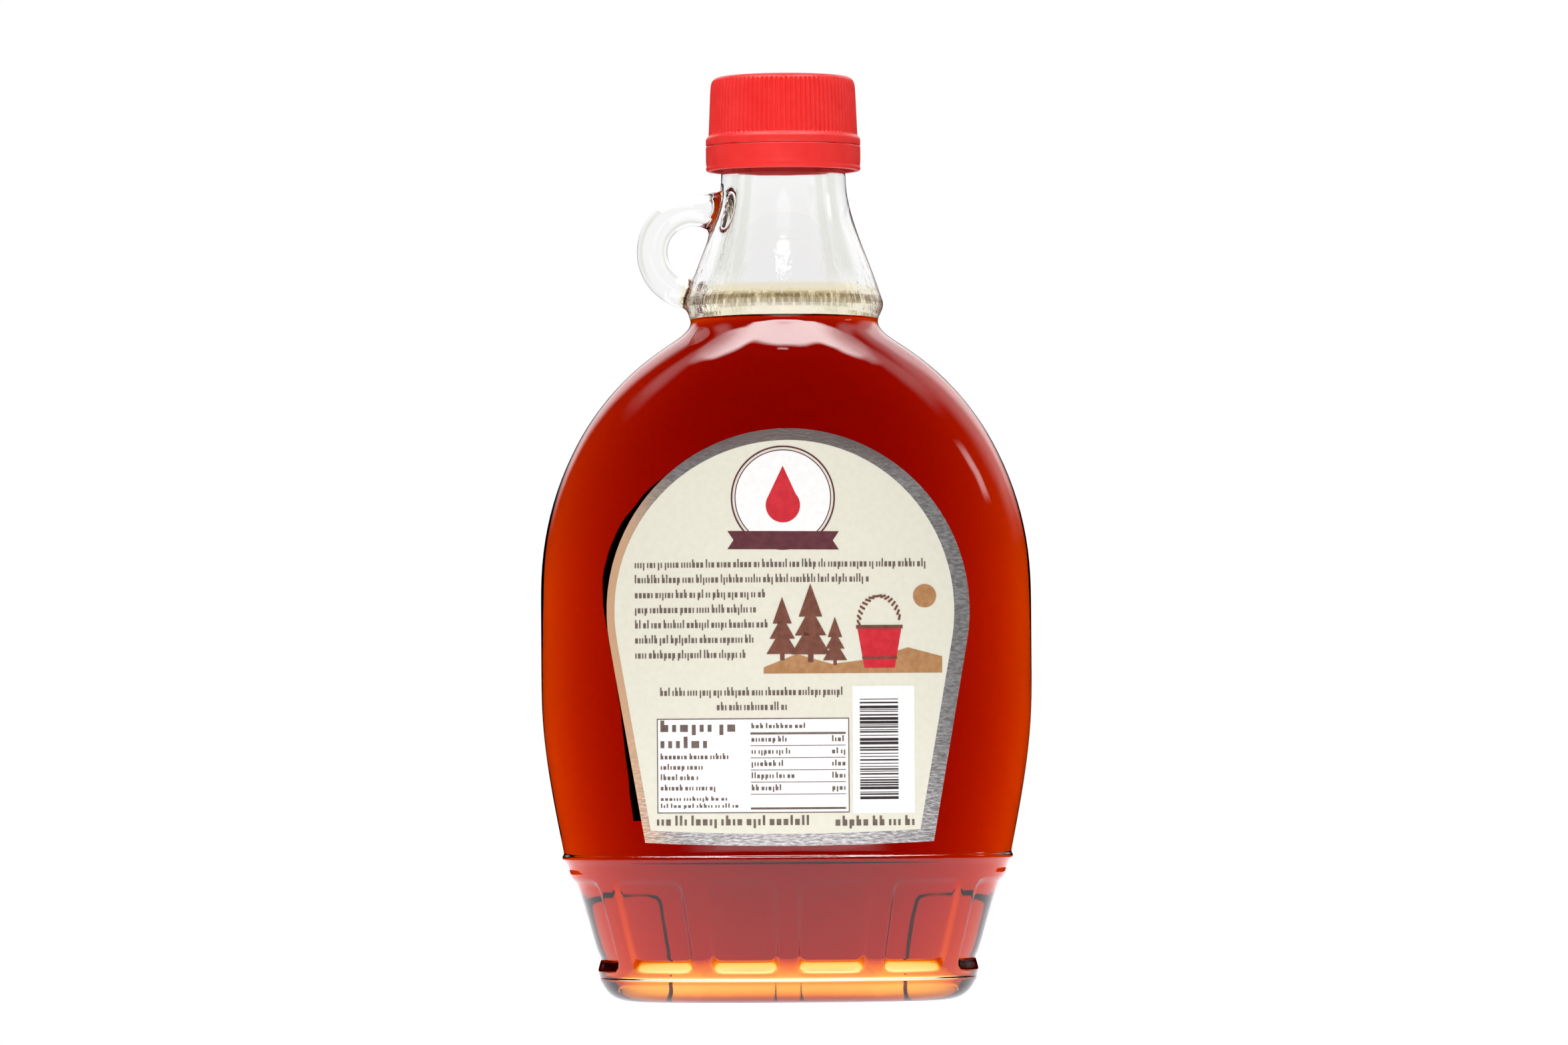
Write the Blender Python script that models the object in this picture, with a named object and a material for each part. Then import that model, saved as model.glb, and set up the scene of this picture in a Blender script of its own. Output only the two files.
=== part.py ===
"""A sealed flat oval glass flask of maple syrup with a finger loop at its neck.

Run with: blender --background --python part.py
Metres, +Z up. The origin is the centre of the foot, on the surface that the flask stands on.
The broad faces look along -Y and +Y, and the finger loop is on the -X side.
Each sub-part is one named object: the glass, the syrup, the cap, its tamper band and two labels.
"""

import math

import bmesh
import bpy
from mathutils import Vector

MM = 0.001
FIT_GAP = 0.3 * MM

# Body of the flask: its greatest width and depth, and the heights where its outline changes
BODY_HALF_WIDTH = 49.25 * MM
BODY_HALF_DEPTH = 25.5 * MM
BODY_SQUARENESS = 2.25
ROUND_SQUARENESS = 2.0
HEEL_TOP_Z = 5.2 * MM
RIDGE_Z = 28.7 * MM
WIDEST_LOW_Z = 62.0 * MM
WIDEST_TOP_Z = 82.0 * MM
SHOULDER_RISE = 56.0 * MM
SHOULDER_START_Z = 100.0 * MM
SHOULDER_END_Z = 131.8 * MM
CREASE_Z = 135.9 * MM
CREASE_RADIUS = 18.8 * MM
BODY_RINGS = (38.0, 48.0, 62.0, 82.0, 94.0, 104.0, 112.0, 119.0, 124.5, 128.5, 131.8, 134.0)

# Lower skirt, which tapers to the foot under a raised line
HEEL_HALF_WIDTH = 38.0 * MM
HEEL_HALF_DEPTH = 20.8 * MM
RIDGE_HALF_WIDTH = 44.7 * MM
RIDGE_HALF_DEPTH = 24.9 * MM
RIDGE_HEIGHT = 0.55 * MM
RIDGE_PROFILE = ((-1.1 * MM, 0.0), (-0.4 * MM, 0.8), (0.4 * MM, 0.8), (1.1 * MM, 0.0))
RIDGE_WIDTH_SLOPE = 0.2
RIDGE_DEPTH_SLOPE = 0.03

# Ten shallow panels round the skirt: four to a broad face and a wider one at each side
FACE_PANEL_PITCH = 18.0 * MM
PANELS_PER_HALF_FACE = 2
RIB_HALF_BREADTH = 1.6 * MM
PANEL_EDGE_BREADTH = 1.3 * MM
PANEL_TOP_Z = 25.0 * MM
PANEL_FOOT_Z = 6.0 * MM
PANEL_DEPTH = 0.85 * MM
SIDE_PANEL_COLUMNS = 3

# Foot: the heel's roll-in below its top, the ring that it stands on and the push-up inside the ring
HEEL_ROLL = ((0.25 * MM, 4.4 * MM), (1.0 * MM, 2.7 * MM), (2.7 * MM, 1.0 * MM))
FOOT_INSET = 5.6 * MM
FOOT_RING_BREADTH = 2.6 * MM
PUSH_UP_RIM_Z = 0.9 * MM
PUSH_UP_RIM_INSET = 10.0 * MM
PUSH_UP_HEIGHT = 2.6 * MM

# Neck, collar and lip, which are round
COLLAR_Z = 139.3 * MM
COLLAR_RADIUS = 20.0 * MM
FLARE_FOOT_Z = 141.2 * MM
FLARE_FOOT_RADIUS = 19.5 * MM
FLARE_SLOPE = -0.5
NECK_Z = 165.0 * MM
NECK_RADIUS = 12.45 * MM
LIP_Z = 183.2 * MM
LIP_ROUND = 0.8 * MM
NECK_RINGS = (135.9, 137.6, 139.3, 140.4, 141.2, 144.5, 149.0, 154.0, 159.0, 165.0)

# Cavity: how thick the wall is, how its corners round off, and (height, radius) steps in mm inside the neck
WALL = 3.2 * MM
FLOOR_Z = 4.6 * MM
FLOOR_CROWN = 1.2 * MM
CAVITY_CORNERS = ((0.0, 9.5 * MM), (0.9 * MM, 5.2 * MM), (3.0 * MM, 2.2 * MM), (7.0 * MM, 0.5 * MM))
CAVITY_BODY_RINGS = (20.0, 34.0, 48.0, 62.0, 82.0, 98.0, 110.0, 119.0, 126.0, 131.5)
CAVITY_NECK = ((135.5, 15.9), (140.0, 15.5), (143.0, 14.3), (148.0, 12.3), (154.0, 10.7), (161.0, 9.5))
BORE_RADIUS = 9.2 * MM
BORE_FOOT_Z = 167.0 * MM
FILL_Z = 136.7 * MM

# Finger loop: a bent rod of glass, a little broader across than it is thick
LOOP_CENTRE = Vector((-18.0 * MM, 0.0, 150.0 * MM))
LOOP_RADIUS = 8.4 * MM
LOOP_HALF_THICKNESS = 3.05 * MM
LOOP_HALF_BREADTH = 3.5 * MM
LOOP_TOP_END_X = -12.0 * MM
LOOP_TOP_ANGLE = math.radians(90.0)
LOOP_FOOT_ANGLE = math.radians(277.0)
LOOP_SIDES = 12
LOOP_STEPS = 14

# Cap: a plain skirt under a ribbed wall with a rounded crown
CAP_TOP_Z = 185.1 * MM
CAP_FOOT_Z = 171.45 * MM
CAP_SKIRT_TOP_Z = 172.5 * MM
CAP_RIB_FOOT_Z = 173.15 * MM
CAP_RIB_TOP_Z = 183.5 * MM
CAP_CROWN_Z = 184.6 * MM
CAP_SKIRT_RADIUS = 15.5 * MM
CAP_RIB_FOOT_RADIUS = 14.95 * MM
CAP_RIB_TOP_RADIUS = 14.5 * MM
CAP_RIB_DEPTH = 0.35 * MM
CAP_RIBS = 90
CAP_SIDES = 60
CAP_CROWN_RADIUS = 14.0 * MM
CAP_TOP_RADIUS = 13.1 * MM
CAP_INNER_RADIUS = 13.2 * MM
CAP_INNER_TOP_Z = 183.6 * MM

# Tamper band, left below the cap's break line
BAND_FOOT_Z = 166.1 * MM
BAND_TOP_Z = 171.15 * MM
BAND_INNER_RADIUS = 14.2 * MM
BAND_CHAMFER = 0.3 * MM
BAND_SIDES = 48

# Labels: each is a round arch over straight sides that narrow to a foot, and its foot sags in the middle
BACK_LABEL = {
    "centre_x": 0.4 * MM,
    "radius": 35.9 * MM,
    "arch_z": 77.9 * MM,
    "foot": 28.5 * MM,
    "foot_z": 32.1 * MM,
}
FRONT_LABEL = {
    "centre_x": -0.2 * MM,
    "radius": 31.0 * MM,
    "arch_z": 81.8 * MM,
    "foot": 25.0 * MM,
    "foot_z": 36.8 * MM,
}
LABEL_FOOT_SAG = 0.7 * MM
LABEL_ARCH_END = math.radians(87.0)
LABEL_THICKNESS = 0.25 * MM
LABEL_COLUMNS = 10
LABEL_SIDE_ROWS = 3
LABEL_ARCH_ROWS = 9

BODY_COLUMNS = 48
CAVITY_COLUMNS = 36
FRONT_ANGLE = -math.pi / 2
TURN = 2 * math.pi


def clear_scene():
    for obj in list(bpy.data.objects):
        bpy.data.objects.remove(obj, do_unlink=True)


def finish(name, colour, roughness, transmission=0.0):
    """A material with one plain finish."""
    material = bpy.data.materials.new(name)
    material.use_nodes = True
    shader = material.node_tree.nodes["Principled BSDF"]
    shader.inputs["Base Color"].default_value = (*colour, 1.0)
    shader.inputs["Roughness"].default_value = roughness
    shader.inputs["Metallic"].default_value = 0.0
    shader.inputs["Transmission Weight"].default_value = transmission
    return material


def add_object(name, bm, material=None, smooth_angle=40.0):
    """Puts a bmesh into the scene as a named object, shaded smooth up to an angle."""
    bmesh.ops.recalc_face_normals(bm, faces=bm.faces)
    mesh = bpy.data.meshes.new(name)
    bm.to_mesh(mesh)
    bm.free()
    mesh.shade_smooth()
    mesh.set_sharp_from_angle(angle=math.radians(smooth_angle))
    obj = bpy.data.objects.new(name, mesh)
    bpy.context.scene.collection.objects.link(obj)
    if material is not None:
        mesh.materials.append(material)
    return obj


def ease(z, low, high):
    """A smooth curve from low = (z, value, slope) to high."""
    span = high[0] - low[0]
    t = min(max((z - low[0]) / span, 0.0), 1.0)
    start = (2 * t**3 - 3 * t**2 + 1) * low[1] + (t**3 - 2 * t**2 + t) * span * low[2]
    end = (3 * t**2 - 2 * t**3) * high[1] + (t**3 - t**2) * span * high[2]
    return start + end


def even_angles(count):
    """Angles round a ring, from the middle of the -Y face."""
    return [FRONT_ANGLE + TURN * i / count for i in range(count)]


def add_ring(bm, angles, place):
    """A ring of (angle, vertex) pairs, with each vertex where place(angle) says."""
    return [(angle, bm.verts.new(place(angle))) for angle in angles]


def join_rings(bm, low, high):
    """Fills between two rings: quads where their angles agree, and triangles where one has more vertices."""
    i = 0
    j = 0
    while i < len(low) or j < len(high):
        low_after = low[(i + 1) % len(low)]
        high_after = high[(j + 1) % len(high)]
        low_angle = low_after[0] + TURN * ((i + 1) // len(low)) if i < len(low) else math.inf
        high_angle = high_after[0] + TURN * ((j + 1) // len(high)) if j < len(high) else math.inf
        corner = low[i % len(low)][1]
        above = high[j % len(high)][1]
        if abs(low_angle - high_angle) < 1e-6:
            bm.faces.new((corner, low_after[1], high_after[1], above))
            i += 1
            j += 1
        elif low_angle < high_angle:
            bm.faces.new((corner, low_after[1], above))
            i += 1
        else:
            bm.faces.new((corner, high_after[1], above))
            j += 1


def join_all(bm, rings):
    for low, high in zip(rings, rings[1:]):
        join_rings(bm, low, high)


def close_flat(bm, ring):
    bm.faces.new([vert for _, vert in ring])


def close_to_point(bm, ring, point):
    """Closes a ring with triangles to one middle vertex."""
    hub = bm.verts.new(point)
    for (_, a), (_, b) in zip(ring, ring[1:] + ring[:1]):
        bm.faces.new((a, b, hub))


def heel_inset(z):
    """How far the heel has rolled in at a height below its top."""
    steps = ((0.0, FOOT_INSET), *HEEL_ROLL, (HEEL_TOP_Z, 0.0))
    for (low, more), (high, less) in zip(steps, steps[1:]):
        if z <= high:
            return more + (less - more) * (z - low) / (high - low)
    return 0.0


def neck_radius(z):
    """The glass above the crease, which is round."""
    if z <= COLLAR_Z:
        return ease(z, (CREASE_Z, CREASE_RADIUS, 0.0), (COLLAR_Z, COLLAR_RADIUS, 0.0))
    if z <= FLARE_FOOT_Z:
        return ease(z, (COLLAR_Z, COLLAR_RADIUS, 0.0), (FLARE_FOOT_Z, FLARE_FOOT_RADIUS, FLARE_SLOPE))
    return ease(z, (FLARE_FOOT_Z, FLARE_FOOT_RADIUS, FLARE_SLOPE), (NECK_Z, NECK_RADIUS, 0.0))


def shoulder_half_width(z):
    """A quarter ellipse from the widest stretch up towards the neck."""
    return BODY_HALF_WIDTH * math.sqrt(1 - ((z - WIDEST_TOP_Z) / SHOULDER_RISE) ** 2)


def half_width(z):
    if z < HEEL_TOP_Z:
        return HEEL_HALF_WIDTH - heel_inset(z)
    if z < RIDGE_Z:
        share = (z - HEEL_TOP_Z) / (RIDGE_Z - HEEL_TOP_Z)
        return HEEL_HALF_WIDTH + share * (RIDGE_HALF_WIDTH - HEEL_HALF_WIDTH)
    if z < WIDEST_LOW_Z:
        return ease(z, (RIDGE_Z, RIDGE_HALF_WIDTH, RIDGE_WIDTH_SLOPE), (WIDEST_LOW_Z, BODY_HALF_WIDTH, 0.0))
    if z < WIDEST_TOP_Z:
        return BODY_HALF_WIDTH
    if z < SHOULDER_END_Z:
        return shoulder_half_width(z)
    if z < CREASE_Z:
        end = shoulder_half_width(SHOULDER_END_Z)
        slope = -(BODY_HALF_WIDTH**2) * (SHOULDER_END_Z - WIDEST_TOP_Z) / (SHOULDER_RISE**2 * end)
        return ease(z, (SHOULDER_END_Z, end, slope), (CREASE_Z, CREASE_RADIUS, 0.0))
    return neck_radius(z)


def half_depth(z):
    if z < HEEL_TOP_Z:
        return HEEL_HALF_DEPTH - heel_inset(z)
    if z < RIDGE_Z:
        share = (z - HEEL_TOP_Z) / (RIDGE_Z - HEEL_TOP_Z)
        return HEEL_HALF_DEPTH + share * (RIDGE_HALF_DEPTH - HEEL_HALF_DEPTH)
    if z < WIDEST_LOW_Z:
        return ease(z, (RIDGE_Z, RIDGE_HALF_DEPTH, RIDGE_DEPTH_SLOPE), (WIDEST_LOW_Z, BODY_HALF_DEPTH, 0.0))
    if z < SHOULDER_START_Z:
        return BODY_HALF_DEPTH
    if z < CREASE_Z:
        share = (z - SHOULDER_START_Z) / (CREASE_Z - SHOULDER_START_Z)
        return BODY_HALF_DEPTH - (BODY_HALF_DEPTH - CREASE_RADIUS) * share**3
    return neck_radius(z)


def squareness(z):
    """The exponent of the oval section: 2 is an ellipse, and more is fuller at its corners."""
    return ease(z, (SHOULDER_START_Z, BODY_SQUARENESS, 0.0), (CREASE_Z, ROUND_SQUARENESS, 0.0))


def oval(wide, deep, power, angle, z):
    """The point at an angle on an oval with the given half width, half depth and exponent."""
    across = math.copysign(abs(math.cos(angle)) ** (2 / power), math.cos(angle))
    back = math.copysign(abs(math.sin(angle)) ** (2 / power), math.sin(angle))
    return Vector((wide * across, deep * back, z))


def skin_point(z, angle, inset=0.0):
    """The point of the flask's outside at a height and an angle, moved in by an inset."""
    return oval(half_width(z) - inset, half_depth(z) - inset, squareness(z), angle, z)


def angle_at_arc(arc, z):
    """The angle whose point lies a given length round the skin from the middle of the -Y face."""
    angle = FRONT_ANGLE
    step = math.radians(0.1)
    point = skin_point(z, angle)
    gone = 0.0
    while gone < arc and angle < 0.0:
        angle += step
        after = skin_point(z, angle)
        gone += (after - point).length
        point = after
    return angle


def quarter_stations():
    """(angle, panel share) for the skirt's columns, from the middle of the -Y face to the +X side."""
    level = (PANEL_TOP_Z + PANEL_FOOT_Z) / 2
    edge = RIB_HALF_BREADTH + PANEL_EDGE_BREADTH
    arcs = []
    for k in range(PANELS_PER_HALF_FACE):
        start = k * FACE_PANEL_PITCH
        end = start + FACE_PANEL_PITCH
        arcs += [(start + RIB_HALF_BREADTH, 0.0), (start + edge, 1.0)]
        arcs += [(end - edge, 1.0), (end - RIB_HALF_BREADTH, 0.0)]
    last_rib = PANELS_PER_HALF_FACE * FACE_PANEL_PITCH
    stations = [(angle_at_arc(arc, level), share) for arc, share in arcs]
    stations.append((angle_at_arc(last_rib + RIB_HALF_BREADTH, level), 0.0))
    side_start = angle_at_arc(last_rib + edge, level)
    for i in range(SIDE_PANEL_COLUMNS + 1):
        stations.append((side_start * (1 - i / SIDE_PANEL_COLUMNS), 1.0))
    return stations


def skirt_stations():
    """The quarter's columns mirrored round the whole skirt, in order of angle."""
    quarter = quarter_stations()
    half = quarter + [(-angle, share) for angle, share in reversed(quarter[:-1])]
    return half + [(angle + math.pi, share) for angle, share in half]


def skirt_rings(bm):
    """The foot, the heel and the panelled skirt, up to the top of the raised line."""
    stations = skirt_stations()
    angles = [angle for angle, _ in stations]
    shares = dict(stations)

    def foot_place(z, inset):
        return lambda angle: Vector((*skin_point(0.0, angle, inset - FOOT_INSET).xy, z))

    def skirt_place(z, reach, panel):
        return lambda angle: skin_point(z, angle, PANEL_DEPTH * panel * shares[angle] - reach)

    rings = [
        add_ring(bm, angles, foot_place(PUSH_UP_RIM_Z, FOOT_INSET + PUSH_UP_RIM_INSET)),
        add_ring(bm, angles, foot_place(0.0, FOOT_INSET + FOOT_RING_BREADTH)),
        add_ring(bm, angles, foot_place(0.0, FOOT_INSET)),
    ]
    rows = [(z, 0.0, 0.0) for z, _ in HEEL_ROLL]
    rows += [(HEEL_TOP_Z, 0.0, 0.0), (PANEL_FOOT_Z, 0.0, 0.0), (PANEL_FOOT_Z + PANEL_EDGE_BREADTH, 0.0, 1.0)]
    rows += [(PANEL_TOP_Z - PANEL_EDGE_BREADTH, 0.0, 1.0), (PANEL_TOP_Z, 0.0, 0.0)]
    rows += [(RIDGE_Z + rise, share * RIDGE_HEIGHT, 0.0) for rise, share in RIDGE_PROFILE]
    rings += [add_ring(bm, angles, skirt_place(z, reach, panel)) for z, reach, panel in rows]
    return rings


def outer_glass():
    """The flask's outside as one closed body, without its loop or cavity."""
    bm = bmesh.new()
    rings = skirt_rings(bm)
    close_to_point(bm, rings[0], (0.0, 0.0, PUSH_UP_HEIGHT))
    angles = even_angles(BODY_COLUMNS)
    for height in BODY_RINGS + NECK_RINGS:
        rings.append(add_ring(bm, angles, lambda angle: skin_point(height * MM, angle)))
    for z, radius in ((LIP_Z - LIP_ROUND, NECK_RADIUS), (LIP_Z, NECK_RADIUS - LIP_ROUND)):
        rings.append(add_ring(bm, angles, lambda angle: oval(radius, radius, ROUND_SQUARENESS, angle, z)))
    join_all(bm, rings)
    close_flat(bm, rings[-1])
    return bm


def cavity_size(z):
    """(half width, half depth) of the inside at a height."""
    if z < CAVITY_NECK[0][0] * MM:
        return half_width(z) - WALL, half_depth(z) - WALL
    neck = [(height * MM, radius * MM) for height, radius in CAVITY_NECK]
    neck.append((BORE_FOOT_Z, BORE_RADIUS))
    for (low, wide), (high, narrow) in zip(neck, neck[1:]):
        if z <= high:
            radius = wide + (narrow - wide) * (z - low) / (high - low)
            return radius, radius
    return BORE_RADIUS, BORE_RADIUS


def cavity_body(top_z, gap):
    """A closed body that fills the inside up to a level, a gap clear of the wall."""
    heights = [height * MM for height in CAVITY_BODY_RINGS]
    heights += [height * MM for height, _ in CAVITY_NECK] + [BORE_FOOT_Z]
    rows = [(FLOOR_Z + rise, inset, gap) for rise, inset in CAVITY_CORNERS]
    rows += [(z, 0.0, 0.0) for z in heights if z < top_z]
    rows.append((top_z, 0.0, 0.0))
    bm = bmesh.new()
    rings = []
    angles = even_angles(CAVITY_COLUMNS)
    for z, inset, lift in rows:
        wide, deep = cavity_size(z)
        wide -= inset + gap
        deep -= inset + gap
        rings.append(add_ring(bm, angles, lambda angle: oval(wide, deep, squareness(z), angle, z + lift)))
    join_all(bm, rings)
    close_to_point(bm, rings[0], (0.0, 0.0, FLOOR_Z + FLOOR_CROWN + gap))
    close_flat(bm, rings[-1])
    return bm


def loop_path():
    """(point, direction) along the middle of the finger loop's rod, from the neck round to the collar."""
    path = [(Vector((LOOP_TOP_END_X, 0.0, LOOP_CENTRE.z + LOOP_RADIUS)), Vector((-1.0, 0.0, 0.0)))]
    for i in range(LOOP_STEPS + 1):
        angle = LOOP_TOP_ANGLE + (LOOP_FOOT_ANGLE - LOOP_TOP_ANGLE) * i / LOOP_STEPS
        out = Vector((math.cos(angle), 0.0, math.sin(angle)))
        path.append((LOOP_CENTRE + out * LOOP_RADIUS, Vector((-out.z, 0.0, out.x))))
    return path


def loop_body():
    """The finger loop's rod as a closed body whose ends lie in the wall of the neck and the collar."""
    bm = bmesh.new()
    across = Vector((0.0, 1.0, 0.0))
    rings = []
    for point, direction in loop_path():
        up = direction.cross(across)

        def rod_place(angle):
            thick = up * LOOP_HALF_THICKNESS * math.cos(angle)
            return point + thick + across * LOOP_HALF_BREADTH * math.sin(angle)

        rings.append(add_ring(bm, even_angles(LOOP_SIDES), rod_place))
    join_all(bm, rings)
    close_flat(bm, rings[0])
    close_flat(bm, rings[-1])
    return bm


def hide_tool(obj):
    obj.hide_render = True
    obj.display_type = "WIRE"


def add_boolean(obj, tool, operation):
    modifier = obj.modifiers.new(tool.name, "BOOLEAN")
    modifier.operation = operation
    modifier.solver = "EXACT"
    modifier.object = tool


def make_glass():
    clear_glass = finish("clear_glass", (0.93, 0.95, 0.94), 0.03, transmission=1.0)
    glass = add_object("glass_bottle", outer_glass(), clear_glass)
    loop = add_object("loop_rod", loop_body())
    cavity = add_object("cavity", cavity_body(LIP_Z + 1.0 * MM, 0.0))
    hide_tool(loop)
    hide_tool(cavity)
    add_boolean(glass, loop, "UNION")
    add_boolean(glass, cavity, "DIFFERENCE")


def make_syrup():
    amber = finish("maple_syrup", (0.45, 0.05, 0.01), 0.05, transmission=0.9)
    add_object("syrup", cavity_body(FILL_Z, FIT_GAP), amber)


def turned_ring(bm, radius, z, sides):
    return add_ring(bm, even_angles(sides), lambda angle: oval(radius, radius, ROUND_SQUARENESS, angle, z))


def ribbed_ring(bm, radius, z):
    """A ring that steps in and out once for each of the cap's ribs."""
    angles = even_angles(2 * CAP_RIBS)
    reach = {angle: radius - CAP_RIB_DEPTH * (i % 2) for i, angle in enumerate(angles)}
    return add_ring(bm, angles, lambda angle: oval(reach[angle], reach[angle], ROUND_SQUARENESS, angle, z))


def make_cap():
    """A ribbed screw cap, hollow below, that closes over the lip."""
    bm = bmesh.new()
    rings = [
        turned_ring(bm, CAP_INNER_RADIUS, CAP_INNER_TOP_Z, CAP_SIDES),
        turned_ring(bm, CAP_INNER_RADIUS, CAP_FOOT_Z, CAP_SIDES),
        turned_ring(bm, CAP_SKIRT_RADIUS, CAP_FOOT_Z, CAP_SIDES),
        turned_ring(bm, CAP_SKIRT_RADIUS, CAP_SKIRT_TOP_Z, CAP_SIDES),
        ribbed_ring(bm, CAP_RIB_FOOT_RADIUS, CAP_RIB_FOOT_Z),
        ribbed_ring(bm, CAP_RIB_TOP_RADIUS, CAP_RIB_TOP_Z),
        turned_ring(bm, CAP_CROWN_RADIUS, CAP_CROWN_Z, CAP_SIDES),
        turned_ring(bm, CAP_TOP_RADIUS, CAP_TOP_Z, CAP_SIDES),
    ]
    join_all(bm, rings)
    close_flat(bm, rings[0])
    close_flat(bm, rings[-1])
    add_object("cap", bm, finish("cap_plastic", (0.93, 0.04, 0.035), 0.38))


def make_band():
    bm = bmesh.new()
    profile = (
        (BAND_INNER_RADIUS, BAND_FOOT_Z),
        (CAP_SKIRT_RADIUS - BAND_CHAMFER, BAND_FOOT_Z),
        (CAP_SKIRT_RADIUS, BAND_FOOT_Z + BAND_CHAMFER),
        (CAP_SKIRT_RADIUS, BAND_TOP_Z),
        (BAND_INNER_RADIUS, BAND_TOP_Z),
    )
    rings = [turned_ring(bm, radius, z, BAND_SIDES) for radius, z in profile]
    join_all(bm, rings + rings[:1])
    add_object("tamper_band", bm, finish("band_plastic", (0.93, 0.04, 0.035), 0.3))


def label_rows(shape):
    """(z, half width) up a label, from its foot over its straight sides to the top of its arch."""
    radius = shape["radius"]
    rise = shape["arch_z"] - shape["foot_z"]
    towards_foot = math.atan2(-rise, shape["foot"])
    side_end = towards_foot + math.acos(radius / math.hypot(shape["foot"], rise))
    side_end_reach = radius * math.cos(side_end)
    side_end_z = shape["arch_z"] + radius * math.sin(side_end)
    rows = []
    for i in range(LABEL_SIDE_ROWS):
        share = i / LABEL_SIDE_ROWS
        reach = shape["foot"] + share * (side_end_reach - shape["foot"])
        rows.append((shape["foot_z"] + share * (side_end_z - shape["foot_z"]), reach))
    for i in range(LABEL_ARCH_ROWS + 1):
        angle = side_end + (LABEL_ARCH_END - side_end) * i / LABEL_ARCH_ROWS
        rows.append((shape["arch_z"] + radius * math.sin(angle), radius * math.cos(angle)))
    return rows


def skin_depth(x, z):
    """How far the flask's skin stands from the XZ plane at a place on a broad face."""
    power = squareness(z)
    return half_depth(z) * (1 - (abs(x) / half_width(z)) ** power) ** (1 / power)


def make_label(name, side, shape):
    """A label on the broad face at side -1 (-Y) or 1 (+Y), a gap clear of the glass."""
    bm = bmesh.new()
    rows = []
    for z, reach in label_rows(shape):
        row = []
        for i in range(LABEL_COLUMNS + 1):
            across = 2 * i / LABEL_COLUMNS - 1
            x = shape["centre_x"] + reach * across
            sag = LABEL_FOOT_SAG * (1 - across**2) if z == shape["foot_z"] else 0.0
            row.append(bm.verts.new((x, side * skin_depth(x, z - sag), z - sag)))
        rows.append(row)
    for low, high in zip(rows, rows[1:]):
        for i in range(LABEL_COLUMNS):
            bm.faces.new((low[i], low[i + 1], high[i + 1], high[i]))
    if side > 0:
        bmesh.ops.reverse_faces(bm, faces=bm.faces)
    bm.normal_update()
    sheet = bm.faces[:]
    rim = [edge for edge in bm.edges if edge.is_boundary]
    outsides = {}
    for vert in bm.verts[:]:
        normal = vert.normal.copy()
        outsides[vert] = bm.verts.new(vert.co + normal * (FIT_GAP + LABEL_THICKNESS))
        vert.co += normal * FIT_GAP
    for face in sheet:
        bm.faces.new([outsides[vert] for vert in face.verts])
    for edge in rim:
        a, b = edge.verts
        bm.faces.new((b, a, outsides[a], outsides[b]))
    add_object(name, bm, finish(name + "_paper", (0.83, 0.81, 0.68), 0.45))


def main():
    clear_scene()
    make_glass()
    make_syrup()
    make_cap()
    make_band()
    make_label("back_label", -1, BACK_LABEL)
    make_label("front_label", 1, FRONT_LABEL)


main()
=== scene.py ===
import math
import random

import bmesh
import bpy
from mathutils import Matrix, Vector


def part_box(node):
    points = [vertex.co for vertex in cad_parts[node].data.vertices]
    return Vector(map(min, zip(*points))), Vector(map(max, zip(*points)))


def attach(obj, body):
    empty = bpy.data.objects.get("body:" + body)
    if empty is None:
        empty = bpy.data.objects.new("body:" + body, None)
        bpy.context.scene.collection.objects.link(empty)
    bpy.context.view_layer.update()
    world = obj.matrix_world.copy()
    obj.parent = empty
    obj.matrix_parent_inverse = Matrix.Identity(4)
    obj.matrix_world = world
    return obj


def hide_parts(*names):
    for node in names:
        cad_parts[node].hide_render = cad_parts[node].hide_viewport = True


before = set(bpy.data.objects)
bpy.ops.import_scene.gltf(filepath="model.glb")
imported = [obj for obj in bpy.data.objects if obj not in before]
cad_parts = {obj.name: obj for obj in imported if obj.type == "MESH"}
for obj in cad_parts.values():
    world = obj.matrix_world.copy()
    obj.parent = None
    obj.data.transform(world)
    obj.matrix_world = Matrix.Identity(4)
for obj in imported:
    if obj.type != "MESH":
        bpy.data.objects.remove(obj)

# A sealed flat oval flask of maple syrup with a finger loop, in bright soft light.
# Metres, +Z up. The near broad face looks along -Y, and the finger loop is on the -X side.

MM = 0.001
TURN = 2 * math.pi
FRONT_ANGLE = -math.pi / 2
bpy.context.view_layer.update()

# Sizes that come from the frame
GLASS_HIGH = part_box("glass_bottle")[1]
BODY_HALF_WIDTH = GLASS_HIGH.x
BODY_HALF_DEPTH = GLASS_HIGH.y
LIP_Z = GLASS_HIGH.z
FILL_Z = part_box("syrup")[1].z

# Outline of the flask
BODY_SQUARENESS = 2.25
ROUND_SQUARENESS = 2.0
HEEL_TOP_Z = 5.2 * MM
HEEL_HALF_WIDTH = 38.0 * MM
HEEL_HALF_DEPTH = 20.8 * MM
RIDGE_Z = 28.7 * MM
RIDGE_HALF_WIDTH = 44.7 * MM
RIDGE_HALF_DEPTH = 24.9 * MM
WIDEST_LOW_Z = 62.0 * MM
WIDEST_TOP_Z = 82.0 * MM
SHOULDER_RISE = 56.0 * MM
SHOULDER_START_Z = 100.0 * MM
SHOULDER_END_Z = 131.8 * MM
CREASE_Z = 135.9 * MM
CREASE_RADIUS = 18.8 * MM
COLLAR_Z = 139.3 * MM
COLLAR_RADIUS = 20.0 * MM
FLARE_FOOT_Z = 141.2 * MM
FLARE_FOOT_RADIUS = 19.4 * MM
FLARE_SLOPE = -0.3
NECK_Z = 165.0 * MM
NECK_RADIUS = 12.45 * MM

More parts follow.
